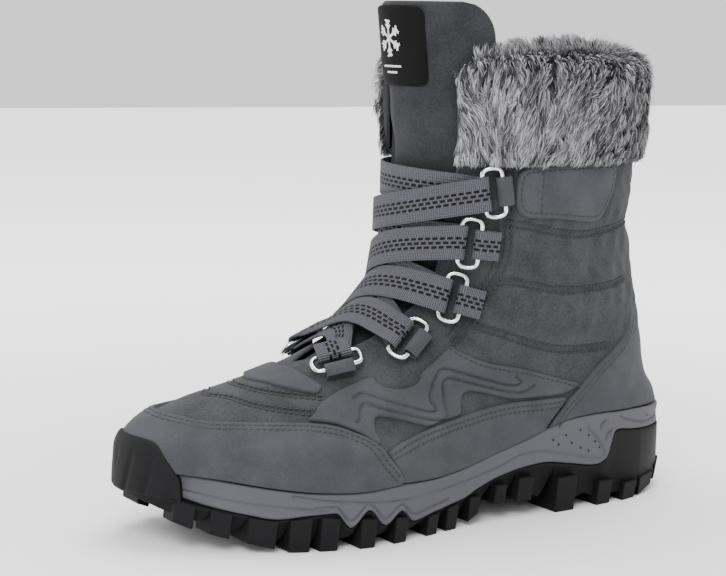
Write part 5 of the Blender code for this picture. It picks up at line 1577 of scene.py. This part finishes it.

# Studio
# A pale floor, painted to glow more the further it lies from the boot, under soft light from above and both sides, and
# a camera near the floor.

white, white_tree, white_shader = new_material("white floor with painted glow")
white_shader.inputs["Base Color"].default_value = (0.9, 0.9, 0.9, 1.0)
white_shader.inputs["Roughness"].default_value = 0.9
white_shader.inputs["Emission Color"].default_value = (1.0, 1.0, 1.0, 1.0)
# The floor's emission rises from nothing near the boot to full strength far off: a painted glow that brightens the
# background.
from_boot = node(white_tree, "ShaderNodeTexCoord")
reach = node(white_tree, "ShaderNodeVectorMath", [(0, from_boot.outputs["Object"])], operation="LENGTH")
painted_floor_glow = node(
    white_tree, "ShaderNodeMapRange", [("Value", reach.outputs["Value"])], From_Min=0.16, From_Max=0.75, To_Max=1.1
)
white_tree.links.new(painted_floor_glow.outputs[0], white_shader.inputs["Emission Strength"])
floor = new_mesh("floor", [(-4, -4, 0), (4, -4, 0), (4, 4, 0), (-4, 4, 0)], [(0, 1, 2, 3)], white)
world = bpy.data.worlds.new("studio")
bpy.context.scene.world = world
world.use_nodes = True
world.node_tree.nodes["Background"].inputs["Color"].default_value = (1.0, 1.0, 1.0, 1.0)
world.node_tree.nodes["Background"].inputs["Strength"].default_value = 1.15


def area_light(name, place, size, power):
    data = bpy.data.lights.new(name, "AREA")
    data.shape = "DISK"
    data.size = size
    data.energy = power
    lamp = bpy.data.objects.new(name, data)
    bpy.context.scene.collection.objects.link(lamp)
    lamp.location = place
    lamp.rotation_euler = (Vector((0, 0, 0.1)) - Vector(place)).to_track_quat("-Z", "Y").to_euler()
    return lamp


area_light("key", (0.9, -0.9, 1.2), 0.9, 22.0)
area_light("top", (-0.2, 0.3, 1.5), 1.2, 22.0)
area_light("side", (-1.0, -1.0, 0.6), 0.8, 8.0)

AZIMUTH, ELEVATION, ROLL = math.radians(56.181), math.radians(7.940), math.radians(1.2005)
DISTANCE = 0.85
FOCAL_PIXELS = 1856.32
aim = Vector((49.817, -3.929, 0))
target = Vector((0, 0, 0.1))
camera_place = target + DISTANCE * Vector(
    (math.sin(AZIMUTH) * math.cos(ELEVATION), -math.cos(AZIMUTH) * math.cos(ELEVATION), math.sin(ELEVATION))
)
forward = (target - camera_place).normalized()
right = forward.cross(Vector((0, 0, 1))).normalized()
above = right.cross(forward)
forward = (-aim.x * right - aim.y * above + FOCAL_PIXELS * forward).normalized()
right = forward.cross(Vector((0, 0, 1))).normalized()
above = right.cross(forward)
camera_x = math.cos(ROLL) * right + math.sin(ROLL) * above
camera_y = -math.sin(ROLL) * right + math.cos(ROLL) * above
data = bpy.data.cameras.new("camera")
data.sensor_fit = "HORIZONTAL"
data.sensor_width = 36.0
data.lens = 36.0 * FOCAL_PIXELS / 726
data.clip_start = 0.01
camera = bpy.data.objects.new("camera", data)
bpy.context.scene.collection.objects.link(camera)
turned = [[camera_x[k], camera_y[k], -forward[k], camera_place[k]] for k in range(3)] + [[0, 0, 0, 1]]
camera.matrix_world = Matrix(turned)
bpy.context.scene.camera = camera
